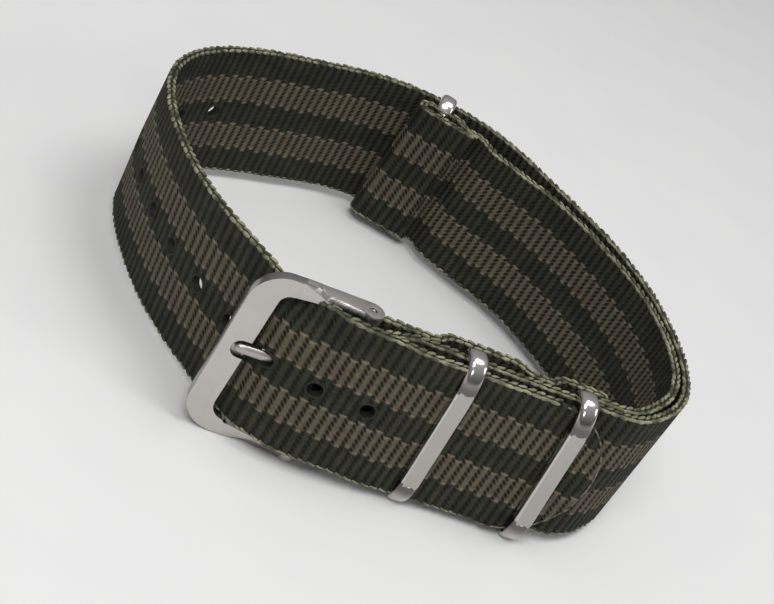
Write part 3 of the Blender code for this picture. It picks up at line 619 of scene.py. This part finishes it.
class Route:
    """The middle line of a length of webbing, seen in plan."""

    def __init__(self, name, stations):
        self.segments, self.points, self.distances = route_samples(stations)
        self.length = self.distances[-1]
        curve = bpy.data.curves.new(name, "CURVE")
        curve.dimensions = "3D"
        curve.twist_mode = "Z_UP"
        curve.resolution_u = CURVE_STEPS
        spline = curve.splines.new("BEZIER")
        spline.bezier_points.add(len(self.segments))
        for index, knot in enumerate(spline.bezier_points):
            before = self.segments[index - 1] if index else None
            after = self.segments[index] if index < len(self.segments) else None
            middle = after[0] if after else before[3]
            knot.handle_left_type = knot.handle_right_type = "FREE"
            knot.co = middle
            knot.handle_left = before[2] if before else middle * 2 - after[1]
            knot.handle_right = after[1] if after else middle * 2 - before[2]
        for knot in spline.bezier_points:
            knot.co.z = knot.handle_left.z = knot.handle_right.z = 0
        self.line = bpy.data.objects.new(name, curve)
        bpy.context.scene.collection.objects.link(self.line)

    def distance_at(self, x, y, start=0.0, end=1.0):
        """How far along the route comes nearest to a plan place, between two shares of its length."""
        target = place(x, y)
        allowed = [
            index for index, distance in enumerate(self.distances)
            if start * self.length <= distance <= end * self.length
        ]
        return self.distances[min(allowed, key=lambda index: (self.points[index] - target).length)]

    def point_at(self, distance):
        index = min(range(len(self.points)), key=lambda i: abs(self.distances[i] - distance))
        return self.points[index]

    def bend(self, piece):
        """Bends a piece that was made flat along X, and stands its middle at the webbing's height."""
        apply_modifier(piece, "CURVE", object=self.line, deform_axis="POS_X")

    def remove(self):
        bpy.data.objects.remove(self.line)


# Webbing


def woven_rib(pitch):
    """One rib of webbing on the flat, from groove to groove."""
    middle = (pitch / 2, 0, PIN.z)

    def from_groove(vert):
        return min(vert.co.x, pitch - vert.co.x) / pitch

    rib = block("rib", middle, (pitch, THICKNESS, WIDTH))
    open_piece(rib)
    choose(rib, "faces", lambda face: abs(face.normal.x) > 0.9)
    bpy.ops.mesh.delete(type="ONLY_FACE")
    choose(rib, "edges", runs_along(0))
    bpy.ops.mesh.bevel(offset=EDGE_ROUNDING, segments=3, affect="EDGES")
    choose(rib, "edges", runs_along(2, WIDTH / 2))
    bpy.ops.mesh.subdivide(number_cuts=RIB_COLUMNS)
    choose(rib, "edges", runs_along(0))
    bpy.ops.mesh.subdivide(number_cuts=3)
    choose(rib, "verts", lambda vert: from_groove(vert) < 0.1)
    bpy.ops.transform.resize(value=(1, VALLEY, 1), center_override=middle)
    choose(rib, "verts", lambda vert: 0.1 < from_groove(vert) < 0.4)
    bpy.ops.transform.resize(value=(1, SHOULDER, 1), center_override=middle)
    close_piece()
    paint(rib, WEBBING, SELVEDGE, MELTED)
    return rib


def edge_braid(pitch, first, count):
    """The knitted thread along both edges: four links to each of a count of ribs."""
    links = []
    for edge, lift in ((-1, LOWER_LINK_LIFT), (1, 0)):
        for side in (-1, 1):
            link = primitive(
                bpy.ops.mesh.primitive_uv_sphere_add, segments=8, ring_count=6, radius=1,
                rotation=(0, math.pi / 2, 0), location=(0, 0, 0),
            )
            link.scale = LINK_SIZE
            link.rotation_euler = (0, -edge * LINK_TILT, side * LINK_TURN)
            link.location = (
                pitch * (first + 0.5 + 0.25 * side), side * LINK_SPREAD,
                PIN.z + edge * (WIDTH / 2 - LINK_INSET) + lift,
            )
            settle(link)
            paint(link, WEBBING, SELVEDGE, MELTED)
            for face in link.data.polygons:
                face.material_index = SELVEDGE_SLOT
            links.append(link)
    braid = join(links, "braid")
    repeat_along(braid, pitch, count)
    for vertex in braid.data.vertices:
        vertex.co += noise.noise_vector(vertex.co / LINK_WANDER_LENGTH) * LINK_WANDER
    return braid


def measure_flat(strap, pitch):
    """Writes the webbing's own map: ribs along it, and millimetres across it from the middle."""
    layer = strap.data.uv_layers.get("UVMap") or strap.data.uv_layers.new(name="UVMap")
    for loop in strap.data.loops:
        co = strap.data.vertices[loop.vertex_index].co
        layer.data[loop.index].uv = (co.x / pitch, (co.z - PIN.z) / MM)


def close_end(strap, x):
    """Fills the open end of the webbing at x with a melted face."""
    open_piece(strap)
    near = 0.05 * MM

    def on_end(edge):
        return edge.is_boundary and all(abs(vert.co.x - x) < near for vert in edge.verts)

    choose(strap, "edges", on_end)
    bpy.ops.mesh.edge_face_add()
    shape = bmesh.from_edit_mesh(strap.data)
    for face in shape.faces:
        if face.select:
            face.material_index = MELTED_SLOT
    bmesh.update_edit_mesh(strap.data)
    close_piece()


def woven_length(name, length):
    """A flat length of webbing along X, with whole ribs and closed ends."""
    count = round(length / RIB_PITCH)
    pitch = length / count
    strap = woven_rib(pitch)
    strap.name = name
    repeat_along(strap, pitch, count, use_merge_vertices=True, merge_threshold=2 * WELD)
    close_end(strap, 0)
    close_end(strap, length)
    return strap, pitch, count


def stretch_along(piece, middle, stretch):
    """Stretches a piece along X about its middle."""
    if stretch != 1:
        for vertex in piece.data.vertices:
            vertex.co.x = middle + (vertex.co.x - middle) * stretch


def punch(strap, distances, stretch=1.0, lift=0.0):
    """Holes with melted walls and rims, at distances along the flat webbing."""
    turn = (math.pi / 2, 0, 0)
    cutters = []
    for distance in distances:
        cutter = rod(HOLE_RADIUS, 4 * THICKNESS, (distance, 0, PIN.z + lift), turn, 20)
        stretch_along(cutter, distance, stretch)
        paint(cutter, MELTED)
        cutters.append(cutter)
    cut(strap, join(cutters, "punch"))
    rims = []
    for distance in distances:
        for side in (-1, 1):
            rim = primitive(
                bpy.ops.mesh.primitive_torus_add, major_radius=HOLE_RADIUS + 0.06 * MM,
                minor_radius=HOLE_RIM, major_segments=24, minor_segments=8, rotation=turn,
                location=(distance, side * THICKNESS * 0.43, PIN.z + lift),
            )
            stretch_along(rim, distance, stretch)
            paint(rim, MELTED)
            rims.append(rim)
    return rims


def gather(strap, distance):
    """Pulls the webbing in round each stitch of a seam across it."""
    for vertex in strap.data.vertices:
        along = vertex.co.x - distance
        if abs(along) > 2 * GATHER_REACH:
            continue
        pull = 0.0
        for height in STITCH_HEIGHTS:
            away = math.hypot(along, (vertex.co.z - PIN.z - height) * 0.8) / GATHER_REACH
            pull = max(pull, math.exp(-away * away))
        vertex.co.y *= 1 - pull * GATHER_DEPTH / (THICKNESS / 2)


def ride_and_name(piece, crest_light_and_relief, slot, *nodes):
    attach(piece, crest_light_and_relief)
    if nodes:
        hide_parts(*nodes)


def make_long_webbing():
    """The fold round the spring bar and the loop, up to where the tail begins."""
    route = Route("long_route", FOLD_ROUTE)
    strap, pitch, ribs = woven_length("webbing_loop", route.length)
    tail = Route("tail_route_probe", TAIL_ROUTE)
    to_tongue = tail.distance_at(*CROSSING) - TONGUE_HOLE_SHIFT
    tail.remove()
    holes = [route.length + to_tongue - index * HOLE_SPACING for index in range(1, 10)]
    rims = punch(strap, [hole for hole in holes if hole < route.length])
    nose = route.distance_at(-1.65, 0, 0, 0.3)
    middle = (nose, 0, PIN.z + TONGUE_LEVEL)
    slot_cutter = block("tongue_slot", middle, (SLOT_LENGTH, 4 * THICKNESS, SLOT_HEIGHT))
    paint(slot_cutter, MELTED)
    cut(strap, slot_cutter)
    for x in (NEAR_SEAM, MIDDLE_SEAM, FAR_SEAM):
        gather(strap, route.distance_at(x, 3, 0, 0.13))
        gather(strap, route.distance_at(x, 0, 0.15, 0.4))
    strap = join([strap, edge_braid(pitch, 0, ribs)] + rims, "webbing_loop")
    measure_flat(strap, pitch)
    route.bend(strap)
    lean_left_wall(strap)
    smooth(strap, 55)
    route.remove()
    ride_and_name(strap, "webbing", "striped_nylon", "long_strap")


def make_tail():
    """The free end. It is cut into four pieces around the buckle's bar and tongue."""
    route = Route("tail_route", TAIL_ROUTE)
    strap, pitch, ribs = woven_length("webbing_tail", route.length)
    to_tongue = route.distance_at(*CROSSING) - TONGUE_HOLE_SHIFT
    rims = punch(strap, [to_tongue], TONGUE_HOLE_STRETCH, TONGUE_LEVEL / 2)
    others = [to_tongue - index * HOLE_SPACING for index in (-2, -1, 1)]
    rims += punch(strap, others)
    round_tip(strap, route.length)
    strap = join([strap, tip_bead(route.length)] + rims, "webbing_tail")
    crossing = route.distance_at(*CROSSING)
    cuts = [round((crossing + index * TAIL_PART) / pitch) for index in (-1, 0, 1)]
    braided = ribs - math.ceil(TAIL_TIP / pitch)
    rib_ends = [0] + cuts + [ribs]
    ends = [rib * pitch for rib in rib_ends]
    bodies = [
        ("webbing", "buckle_frame"), ("buckle_frame", "buckle_tongue"),
        ("buckle_tongue", "buckle_frame"), ("buckle_frame", "webbing"),
    ]
    names = [
        "webbing_tail_inside", "webbing_tail_under_bar", "webbing_tail_on_tongue",
        "webbing_tail_front",
    ]
    settled = crossing + TAIL_SETTLED
    inset = 0.7 * MM
    for index, (name, pair) in enumerate(zip(names, bodies)):
        part = copy_of(strap, name)
        open_piece(part)
        for cut_at, clear in ((ends[index], "inner"), (ends[index + 1], "outer")):
            if 0 < cut_at < ends[-1]:
                bpy.ops.mesh.select_all(action="SELECT")
                bpy.ops.mesh.bisect(
                    plane_co=(cut_at, 0, 0), plane_no=(1, 0, 0), use_fill=True,
                    clear_inner=clear == "inner", clear_outer=clear == "outer",
                )
        close_piece()
        last = min(rib_ends[index + 1], braided)
        part = join([part, edge_braid(pitch, rib_ends[index], last - rib_ends[index])], name)
        measure_flat(part, pitch)
        for vertex in part.data.vertices:
            past = (vertex.co.x - crossing) / MM
            squeeze = 1 - eased(past, TAIL_NARROWING) * MM / (WIDTH / 2)
            outward = eased((vertex.co.z - PIN.z) / MM, CURLED_HEIGHTS)
            vertex.co.y += eased(past, TAIL_CURL) * outward * MM
            vertex.co.z = PIN.z + (vertex.co.z - PIN.z) * squeeze + eased(past, TAIL_RISE) * MM
        route.bend(part)
        lean_left_wall(part)
        smooth(part, 55)
        start = route.point_at(ends[index] + inset)
        end = route.point_at(min(ends[index + 1], settled) - inset)
        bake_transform(part)
        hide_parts("strap_tail")
    bpy.data.objects.remove(strap)
    route.remove()


def round_tip(strap, length):
    """Cuts the free end to a shallow half ellipse and melts its edge."""
    cutter = rod(1.0, 1.0, (0, 0, 0), (math.pi / 2, 0, 0), 64)
    cutter.scale = (TAIL_TIP, 4 * THICKNESS, WIDTH / 2 + 0.3 * MM)
    cutter.location = (length - TAIL_TIP, 0, PIN.z)
    settle(cutter)
    crest_light_and_relief = block("keep", (length / 2 - TAIL_TIP, 0, PIN.z), (length, 4 * THICKNESS, WIDTH + 3 * MM))
    paint(cutter, MELTED)
    paint(crest_light_and_relief, MELTED)
    cut(cutter, crest_light_and_relief, "UNION")
    cut(strap, cutter, "INTERSECT")


def tip_bead(length):
    """A thin bead round the edge of the tail's rounded end."""
    curve, spline = round_curve("tip_bead", 0.13 * MM)
    spline.bezier_points.add(2)
    half = WIDTH / 2
    face = -THICKNESS * 0.44
    knots = [
        (length - TAIL_TIP, -half, TAIL_TIP * QUARTER_PULL, 0), (length, 0, 0, half * QUARTER_PULL),
        (length - TAIL_TIP, half, -TAIL_TIP * QUARTER_PULL, 0),
    ]
    for knot, (x, z, run_x, run_z) in zip(spline.bezier_points, knots):
        knot.handle_left_type = knot.handle_right_type = "FREE"
        knot.co = (x, face, PIN.z + z)
        knot.handle_left = (x - run_x, face, PIN.z + z - run_z)
        knot.handle_right = (x + run_x, face, PIN.z + z + run_z)
    bead = mesh_from("tip_bead", curve)
    paint(bead, BEAD)
    return bead


def lean_flap(piece):
    """Sets the sewn end askew, its upper edge nearer to the front and to the right."""
    for vertex in piece.data.vertices:
        x, y = (vertex.co.x - PIN.x) / MM, (vertex.co.y - PIN.y) / MM
        if y > FLAP_START:
            share = eased(x, FLAP_FADE)
            height = (vertex.co.z - PIN.z) / WIDTH
            vertex.co.x += share * height * FLAP_SHEAR * MM
            vertex.co.y -= share * (FLAP_SHIFT + height * FLAP_TILT) * MM


def lean_left_wall(piece):
    """Leans the left of the loop outwards at its upper edge."""
    for vertex in piece.data.vertices:
        share = eased((vertex.co.x - PIN.x) / MM, LEFT_FADE)
        height = (vertex.co.z - PIN.z) / WIDTH
        share *= eased((vertex.co.y - PIN.y) / MM, UPPER_FADE if height > 0 else LOWER_FADE)
        vertex.co.x -= share * height * LEFT_LEAN * MM


def make_short_webbing():
    route = Route("short_route", SHORT_ROUTE)
    strap, pitch, ribs = woven_length("webbing_short", route.length)
    seam_gap = 0.75
    across = Vector((-math.sin(RING_TURN), math.cos(RING_TURN))) * seam_gap
    gather(strap, route.distance_at(RING_SEAM[0] - across.x, RING_SEAM[1] - across.y, 0.6, 0.85))
    gather(strap, route.distance_at(RING_SEAM[0] + across.x, RING_SEAM[1] + across.y, 0.9, 1.0))
    gather(strap, route.distance_at(FAR_SEAM, 1.55, 0, 0.1))
    strap = join([strap, edge_braid(pitch, 0, ribs)], "webbing_short")
    measure_flat(strap, pitch)
    route.bend(strap)
    lean_flap(strap)
    smooth(strap, 55)
    route.remove()
    ride_and_name(strap, "webbing", "striped_nylon", "short_strap")


# Stitching


def make_stitches(name, node, middle, turn, half_stack):
    """A row of lockstitches across the webbing, the same on both faces."""
    sunk, level, run = -0.5, 0.02, 0.7 * MM
    stops = []
    for low, high in zip(STITCH_HEIGHTS, STITCH_HEIGHTS[1:]):
        stops += [(low, sunk), (low + run, level), (high - run, level)]
    stops.append((STITCH_HEIGHTS[-1], sunk))
    rows = []
    for side in (-1, 1):
        curve, spline = round_curve(name, STITCH_RADIUS)
        spline.bezier_points.add(len(stops) - 1)
        for knot, (height, rise) in zip(spline.bezier_points, stops):
            knot.co = (0, side * (half_stack + rise * MM), height)
            knot.handle_left_type = knot.handle_right_type = "AUTO"
        rows.append(mesh_from(name, curve))
    stitches = join(rows, name)
    stitches.rotation_euler = (0, 0, turn)
    stitches.location = middle
    settle(stitches)
    lean_flap(stitches)
    paint(stitches, THREAD)
    smooth(stitches, 80)
    ride_and_name(stitches, "webbing", "dark_thread", node)


# Metal


def ring_profile():
    """The ring bar's section: flat inside and domed outside."""
    sides = 32
    power = 2 / 3.4
    points = []
    for index in range(sides):
        turn = 2 * math.pi * index / sides
        out, up = math.cos(turn), math.sin(turn)
        u = (max(math.copysign(abs(out) ** power, out), 0) - 0.5) * (RING_WALL + RING_CROWN)
        points.append((u, math.copysign(abs(up) ** power, up) * RING_WIDTH / 2))
    profile = bpy.data.objects.new("ring_profile", outline_curve("ring_profile", points))
    bpy.context.scene.collection.objects.link(profile)
    return profile


def ring_tube():
    """The whole ring as a bent domed strip, a little proud of the flats that are ground on it."""
    corner = Vector((0.4, 6.7)) * MM
    half = (RING_WALL + RING_CROWN) / 2
    sweep = Vector((RING_DEPTH / 2 + RING_CROWN - half, RING_HEIGHT / 2 - half)) - corner
    curve = bpy.data.curves.new("ring_path", "CURVE")
    curve.dimensions = "3D"
    curve.twist_mode = "Z_UP"
    curve.resolution_u = 12
    curve.bevel_mode = "OBJECT"
    profile = ring_profile()
    curve.bevel_object = profile
    spline = curve.splines.new("BEZIER")
    spline.use_cyclic_u = True
    spline.bezier_points.add(7)
    for index, knot in enumerate(spline.bezier_points):
        start = 90 * (index // 2)
        angle = math.radians(start + 90 * (index % 2))
        middle = Vector((
            math.copysign(corner.x, math.cos(math.radians(start + 45))),
            math.copysign(corner.y, math.sin(math.radians(start + 45))),
        ))
        at = middle + Vector((sweep.x * math.cos(angle), sweep.y * math.sin(angle)))
        run = Vector((-sweep.x * math.sin(angle), sweep.y * math.cos(angle))) * QUARTER_PULL
        straight = run * 0.3
        knot.handle_left_type = knot.handle_right_type = "FREE"
        knot.co = (*at, 0)
        knot.handle_left = (*(at - (run if index % 2 else straight)), 0)
        knot.handle_right = (*(at + (straight if index % 2 else run)), 0)
    tube = mesh_from("ring_tube", curve)
    bpy.data.objects.remove(profile)
    tube.rotation_euler = (math.pi / 2, 0, math.pi / 2)
    settle(tube)
    face_outward(tube, weld=True)
    paint(tube, RING_END, RING_SATIN)
    return tube


def make_ring_blank():
    """A ring with flat satin bars between domed, polished ends."""
    ring = ring_tube()
    opening = block(
        "opening", (0, 0, 0), (4 * MM, RING_DEPTH - 2 * RING_WALL, RING_HEIGHT - 2 * RING_WALL)
    )
    open_piece(opening)
    choose(opening, "edges", runs_along(0))
    bpy.ops.mesh.bevel(offset=0.6 * MM, segments=5, affect="EDGES")
    close_piece()
    paint(opening, POLISHED)
    cut(ring, opening)
    lobe_height = RING_FLAT + RING_LOBE
    lobe_reach = 0.35 * MM
    for side in (-1, 1):
        grinder = block(
            "grinder", (0, side * (RING_DEPTH / 2 + MM), 0), (4 * MM, 2 * MM, 2 * lobe_height)
        )
        paint(grinder, RING_SATIN)
        for end in (-1, 1):
            lobe = primitive(
                bpy.ops.mesh.primitive_cone_add, vertices=40, radius1=RING_LOBE,
                radius2=0.7 * RING_LOBE, depth=2 * lobe_reach, rotation=(side * -math.pi / 2, 0, 0),
                location=(0, side * (RING_DEPTH / 2 + lobe_reach), end * lobe_height),
            )
            paint(lobe, RING_END)
            cut(grinder, lobe)
        cut(ring, grinder)
    smooth(ring, 30)
    return ring


def make_rings():
    blank = make_ring_blank()
    for node, turn in (("keeper_near", 0), ("keeper_far", 0), ("end_ring", RING_TURN)):
        low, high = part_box(node)
        ring = copy_of(blank, node + "_ring")
        ring.data.name = ring.name
        lean, tilt = math.radians(RING_LEANS[node]), math.radians(RING_TILTS[node])
        ring.rotation_euler = (tilt, lean, turn)
        ring.location = (low + high) / 2
        settle(ring)
        ride_and_name(ring, node, "satin_steel", node)
    bpy.data.objects.remove(blank)


def plate(name, outline, thickness, materials):
    """A flat plate in the XZ plane from an outline in millimetres, its thickness along Y."""
    curve = outline_curve(name, [(x * MM, z * MM) for x, z in outline])
    curve.fill_mode = "BOTH"
    curve.extrude = thickness * MM / 2
    piece = mesh_from(name, curve)
    face_outward(piece, weld=True)
    piece.rotation_euler = (math.pi / 2, 0, 0)
    settle(piece)
    paint(piece, *materials)
    return piece


def oval_arc(centre, radii, start, end, steps):
    """Points round an ellipse from one angle to another, in millimetres."""
    points = []
    for index in range(steps + 1):
        angle = math.radians(start + (end - start) * index / steps)
        points.append((centre[0] + radii[0] * math.cos(angle), centre[1] + radii[1] * math.sin(angle)))
    return points


ARM_LENGTH = 9.6
ARM_REACH = {1: 12.8, -1: 12.5}
LUG_RADIUS = 1.5 * MM
# Corners of an arm's section at places along it: the window's edge, the crease in the satin
# face, the ridge of the polished facet, the back's outer edge and the back's inner edge.
ARM_SECTIONS = [
    (-9.6, (10.55, -0.5), (12.74, -0.5), (12.8, -0.42), (12.8, 0.9), (10.55, 0.9)),
    (-8.6, (10.65, -0.5), (12.6, -0.5), (12.8, 0.05), (12.8, 1.0), (10.65, 1.0)),
    (-7.8, (10.78, -0.52), (12.38, -0.52), (12.76, 0.2), (12.72, 1.15), (10.78, 1.15)),
    (-7.0, (10.9, -0.55), (12.15, -0.55), (12.62, 0.12), (12.62, 1.3), (10.9, 1.3)),
    (-6.1, (11.0, -0.65), (11.85, -0.65), (12.52, -0.15), (12.52, 1.4), (11.0, 1.4)),
    (-5.3, (11.12, -0.75), (11.64, -0.75), (12.48, -0.35), (12.5, 1.45), (11.12, 1.45)),
    (-4.0, (11.25, -0.9), (11.55, -0.92), (12.44, -0.52), (12.5, 1.5), (11.25, 1.5)),
    (-1.8, (11.3, -1.22), (11.5, -1.24), (12.42, -0.9), (12.5, 1.5), (11.3, 1.5)),
    (0.0, (11.3, -1.48), (11.5, -1.5), (12.42, -1.35), (12.5, 1.5), (11.3, 1.5)),
]


def make_buckle_arm(side):
    """One arm, whose satin face narrows to the drilled lug while its outer side turns to the front."""
    corners = 5
    arm = primitive(
        bpy.ops.mesh.primitive_cylinder_add, vertices=corners, radius=MM, depth=ARM_LENGTH * MM,
        rotation=(0, math.pi / 2, 0), location=(-ARM_LENGTH * MM / 2, 0, 0),
    )
    open_piece(arm)
    choose(arm, "edges", runs_along(0))
    bpy.ops.mesh.subdivide(number_cuts=23)
    close_piece()
    for vertex in arm.data.vertices:
        turn = math.atan2(vertex.co.y, vertex.co.z) % (2 * math.pi)
        corner = 1 + round(turn / (2 * math.pi) * corners) % corners
        x = vertex.co.x / MM
        for before, after in zip(ARM_SECTIONS, ARM_SECTIONS[1:]):
            if x <= after[0] + 0.001:
                share = (x - before[0]) / (after[0] - before[0])
                z, y = [a + (b - a) * share for a, b in zip(before[corner], after[corner])]
                break
        vertex.co.y, vertex.co.z = y * MM, side * min(z, ARM_REACH[side]) * MM
    paint(arm, SATIN, FACET_PAINTED_DARK)
    face_outward(arm)
    for face in arm.data.polygons:
        facet = face.normal.z * side > 0.2 and face.normal.y < -0.2
        face.material_index = 1 if facet or face.normal.z * side < -0.6 else 0
    lug = rod(LUG_RADIUS, 1.2 * MM, (0, 0, side * 11.9 * MM), sides=48)
    paint(lug, SATIN)
    cut(arm, lug, "UNION")
    return arm


def make_buckle_frame():
    """The buckle's frame: a satin bar with rounded corners, and its two arms."""
    outer = oval_arc((-10.0, -8.0), (4.95, 4.5), 180, 270, 16)
    outer += [(-9.3, -ARM_REACH[-1]), (-9.3, ARM_REACH[1])]
    outer += oval_arc((-10.2, 8.4), (4.35, 4.4), 90, 180, 16)
    window = oval_arc((-9.45, -7.9), (2.15, 2.3), 180, 262, 12)
    window += [(-9.3, -10.55), (-8.0, -10.6), (-8.0, 10.6), (-9.3, 10.55)]
    window += oval_arc((-9.5, 9.0), (1.4, 1.5), 98, 180, 12)
    piece = plate("buckle", outer, 1.4, [SATIN, FACET_PAINTED_DARK])
    piece.location = (0, 0.2 * MM, 0)
    settle(piece)
    for face in piece.data.polygons:
        face.material_index = 0 if abs(face.normal.y) > 0.9 else 1
    cut(piece, plate("window", window, 6.0, [FACET_PAINTED_DARK]))
    for side in (-1, 1):
        cut(piece, make_buckle_arm(side), "UNION")
    cut(piece, rod(0.5 * MM, 30 * MM, (0, 0, 0)))
    half = 1.35
    notch_outline = oval_arc((-12.0, 0), (half, half), 90, 270, 12) + [(-10.5, -half), (-10.5, half)]
    notch = plate("notch", notch_outline, 1.0, [FACET_PAINTED_DARK])
    notch.location = (0, -0.3 * MM, TONGUE_LEVEL)
    settle(notch)
    cut(piece, notch)
    open_piece(piece)
    bpy.ops.mesh.select_all(action="SELECT")
    bpy.ops.mesh.dissolve_limited(angle_limit=math.radians(0.5))
    close_piece()
    apply_modifier(
        piece, "BEVEL", width=0.13 * MM, segments=3, limit_method="ANGLE", angle_limit=math.radians(50)
    )
    piece.location = PIN
    settle(piece)
    piece.name = "buckle_frame_bar"
    smooth(piece, 30)
    ride_and_name(piece, "buckle_frame", "satin_steel", "buckle_frame")


def make_tongue():
    """The tongue: a round bar with a flattened, rounded tip, and an eye round the spring bar."""
    shank = primitive(
        bpy.ops.mesh.primitive_circle_add, vertices=20, radius=1, fill_type="NOTHING",
        rotation=(0, math.pi / 2, 0), location=(0, 0, 0),
    )
    # Places along the shank and towards the back, with half its thickness and half its width
    stations = [
        (-1.2, 0.0, 0.55, 0.85), (-3.0, -0.02, 0.53, 0.80), (-6.0, -0.08, 0.50, 0.78),
        (-9.0, -0.17, 0.48, 0.76), (-11.0, -0.24, 0.46, 0.74), (-12.0, -0.27, 0.44, 0.70),
        (-12.5, -0.29, 0.36, 0.58), (-12.75, -0.30, 0.2, 0.32),
    ]
    shank.scale = (1, stations[0][2] * MM, stations[0][3] * MM)
    shank.location = (stations[0][0] * MM, stations[0][1] * MM, 0)
    settle(shank)
    open_piece(shank)
    bpy.ops.mesh.select_all(action="SELECT")
    bpy.ops.mesh.edge_face_add()
    for before, after in zip(stations, stations[1:]):
        step = [(b - a) * MM for a, b in zip(before[:2], after[:2])]
        bpy.ops.mesh.extrude_region_move(TRANSFORM_OT_translate={"value": (*step, 0)})
        centre = (after[0] * MM, after[1] * MM, 0)
        grow = (1, after[2] / before[2], after[3] / before[3])
        bpy.ops.transform.resize(value=grow, center_override=centre)
    close_piece()
    face_outward(shank)
    eye = rod(1.75 * MM, 1.8 * MM, (0, 0, 0), sides=40)
    cut(eye, shank, "UNION")
    cut(eye, rod(1.05 * MM, 4 * MM, (0, 0, 0), sides=32))
    paint(eye, RING_SATIN)
    apply_modifier(
        eye, "BEVEL", width=0.12 * MM, segments=2, limit_method="ANGLE", angle_limit=math.radians(60)
    )
    eye.location = PIN + Vector((0, 0, TONGUE_LEVEL))
    settle(eye)
    eye.name = "buckle_tongue_pin"
    smooth(eye, 40)
    ride_and_name(eye, "buckle_tongue", "satin_steel", "buckle_tongue")


def dress_spring_bar():
    """Polishes the spring bar's solids, which are shown as they are."""
    for part in ("barrel", "tip_upper", "tip_lower", "spring"):
        node = "spring_bar_" + part
        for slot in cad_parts[node].material_slots:
            slot.material = POLISHED


# Surroundings


def pale_surface():
    finish = Finish("pale_floor", Roughness=0.9)
    grain = finish.noise(60.0, 3.0)
    finish.feed(Base_Color=finish.blend(grain, (0.66, 0.66, 0.66), (0.70, 0.70, 0.695)))
    return finish.material


def lay_floor():
    bpy.ops.object.select_all(action="DESELECT")
    bpy.ops.mesh.primitive_plane_add(size=6.0, location=(0, 0, -0.02 * MM))
    floor = bpy.context.object
    floor.name = "floor"
    paint(floor, pale_surface())


def lamp(name, azimuth, elevation, distance, size, watts):
    light = bpy.data.lights.new(name, "AREA")
    light.shape = "DISK"
    light.size = size
    light.energy = watts
    holder = bpy.data.objects.new(name, light)
    bpy.context.scene.collection.objects.link(holder)
    a, e = math.radians(azimuth), math.radians(elevation)
    away = Vector((math.sin(a) * math.cos(e), -math.cos(a) * math.cos(e), math.sin(e)))
    holder.location = away * distance
    holder.rotation_mode = "QUATERNION"
    holder.rotation_quaternion = away.to_track_quat("Z", "Y")


def set_light():
    world = bpy.data.worlds.new("studio")
    world.use_nodes = True
    bpy.context.scene.world = world
    nodes, links = world.node_tree.nodes, world.node_tree.links
    background = nodes["Background"]
    sky = nodes.new("ShaderNodeTexCoord")
    height = nodes.new("ShaderNodeSeparateXYZ")
    links.new(sky.outputs["Generated"], height.inputs[0])
    mix = nodes.new("ShaderNodeMix")
    mix.data_type = "RGBA"
    low_sky, high_sky = (0.28, 0.28, 0.285, 1), (0.90, 0.90, 0.90, 1)
    mix.inputs[6].default_value = low_sky
    mix.inputs[7].default_value = high_sky
    links.new(height.outputs["Z"], mix.inputs[0])
    links.new(mix.outputs[2], background.inputs["Color"])
    background.inputs["Strength"].default_value = 0.55
    lamp("key", -30, 55, 0.7, 0.30, 2.2)
    lamp("top", 60, 78, 0.7, 0.4, 1.8)
    lamp("side", 65, 28, 0.8, 0.3, 0.9)
    lamp("front", -5, 25, 0.8, 0.12, 0.5)


def set_camera():
    """The photograph's viewing angle, with its roll."""
    camera = bpy.data.objects.new("camera", bpy.data.cameras.new("camera"))
    bpy.context.scene.collection.objects.link(camera)
    bpy.context.scene.camera = camera
    focal_pixels, picture_pixels = 1495, 774
    camera.data.sensor_width = 36
    camera.data.lens = focal_pixels / picture_pixels * camera.data.sensor_width
    camera.data.clip_start = 0.01
    elevation, roll, distance = math.radians(30.4), math.radians(32.2), 0.205
    heading = Vector((0.3665, 0.930, 0)).normalized()
    forward = heading * math.cos(elevation) - Vector((0, 0, math.sin(elevation)))
    level = Vector((heading.y, -heading.x, 0))
    lift = level.cross(forward)
    right = level * math.cos(roll) + lift * math.sin(roll)
    up = lift * math.cos(roll) - level * math.sin(roll)
    axes = Matrix((right, up, -forward)).transposed()
    camera.matrix_world = Matrix.Translation(place(9.74, 22.6) - forward * distance) @ axes.to_4x4()


set_camera()
lay_floor()
set_light()
make_long_webbing()
make_tail()
make_short_webbing()
make_stitches("stitches_near", "seam_near", place(NEAR_SEAM, 0.8), 0, HALF_OF_TWO_LAYERS)
make_stitches("stitches_middle", "seam_middle", place(MIDDLE_SEAM, 0.8), 0, HALF_OF_TWO_LAYERS)
make_stitches("stitches_far", "seam_far", place(FAR_SEAM, 1.5), 0, HALF_OF_THREE_LAYERS)
make_stitches("stitches_ring", "seam_ring", place(*RING_SEAM), RING_TURN, HALF_OF_TWO_LAYERS)
make_rings()
make_buckle_frame()
make_tongue()
dress_spring_bar()

bpy.context.scene.view_settings.view_transform = "Standard"
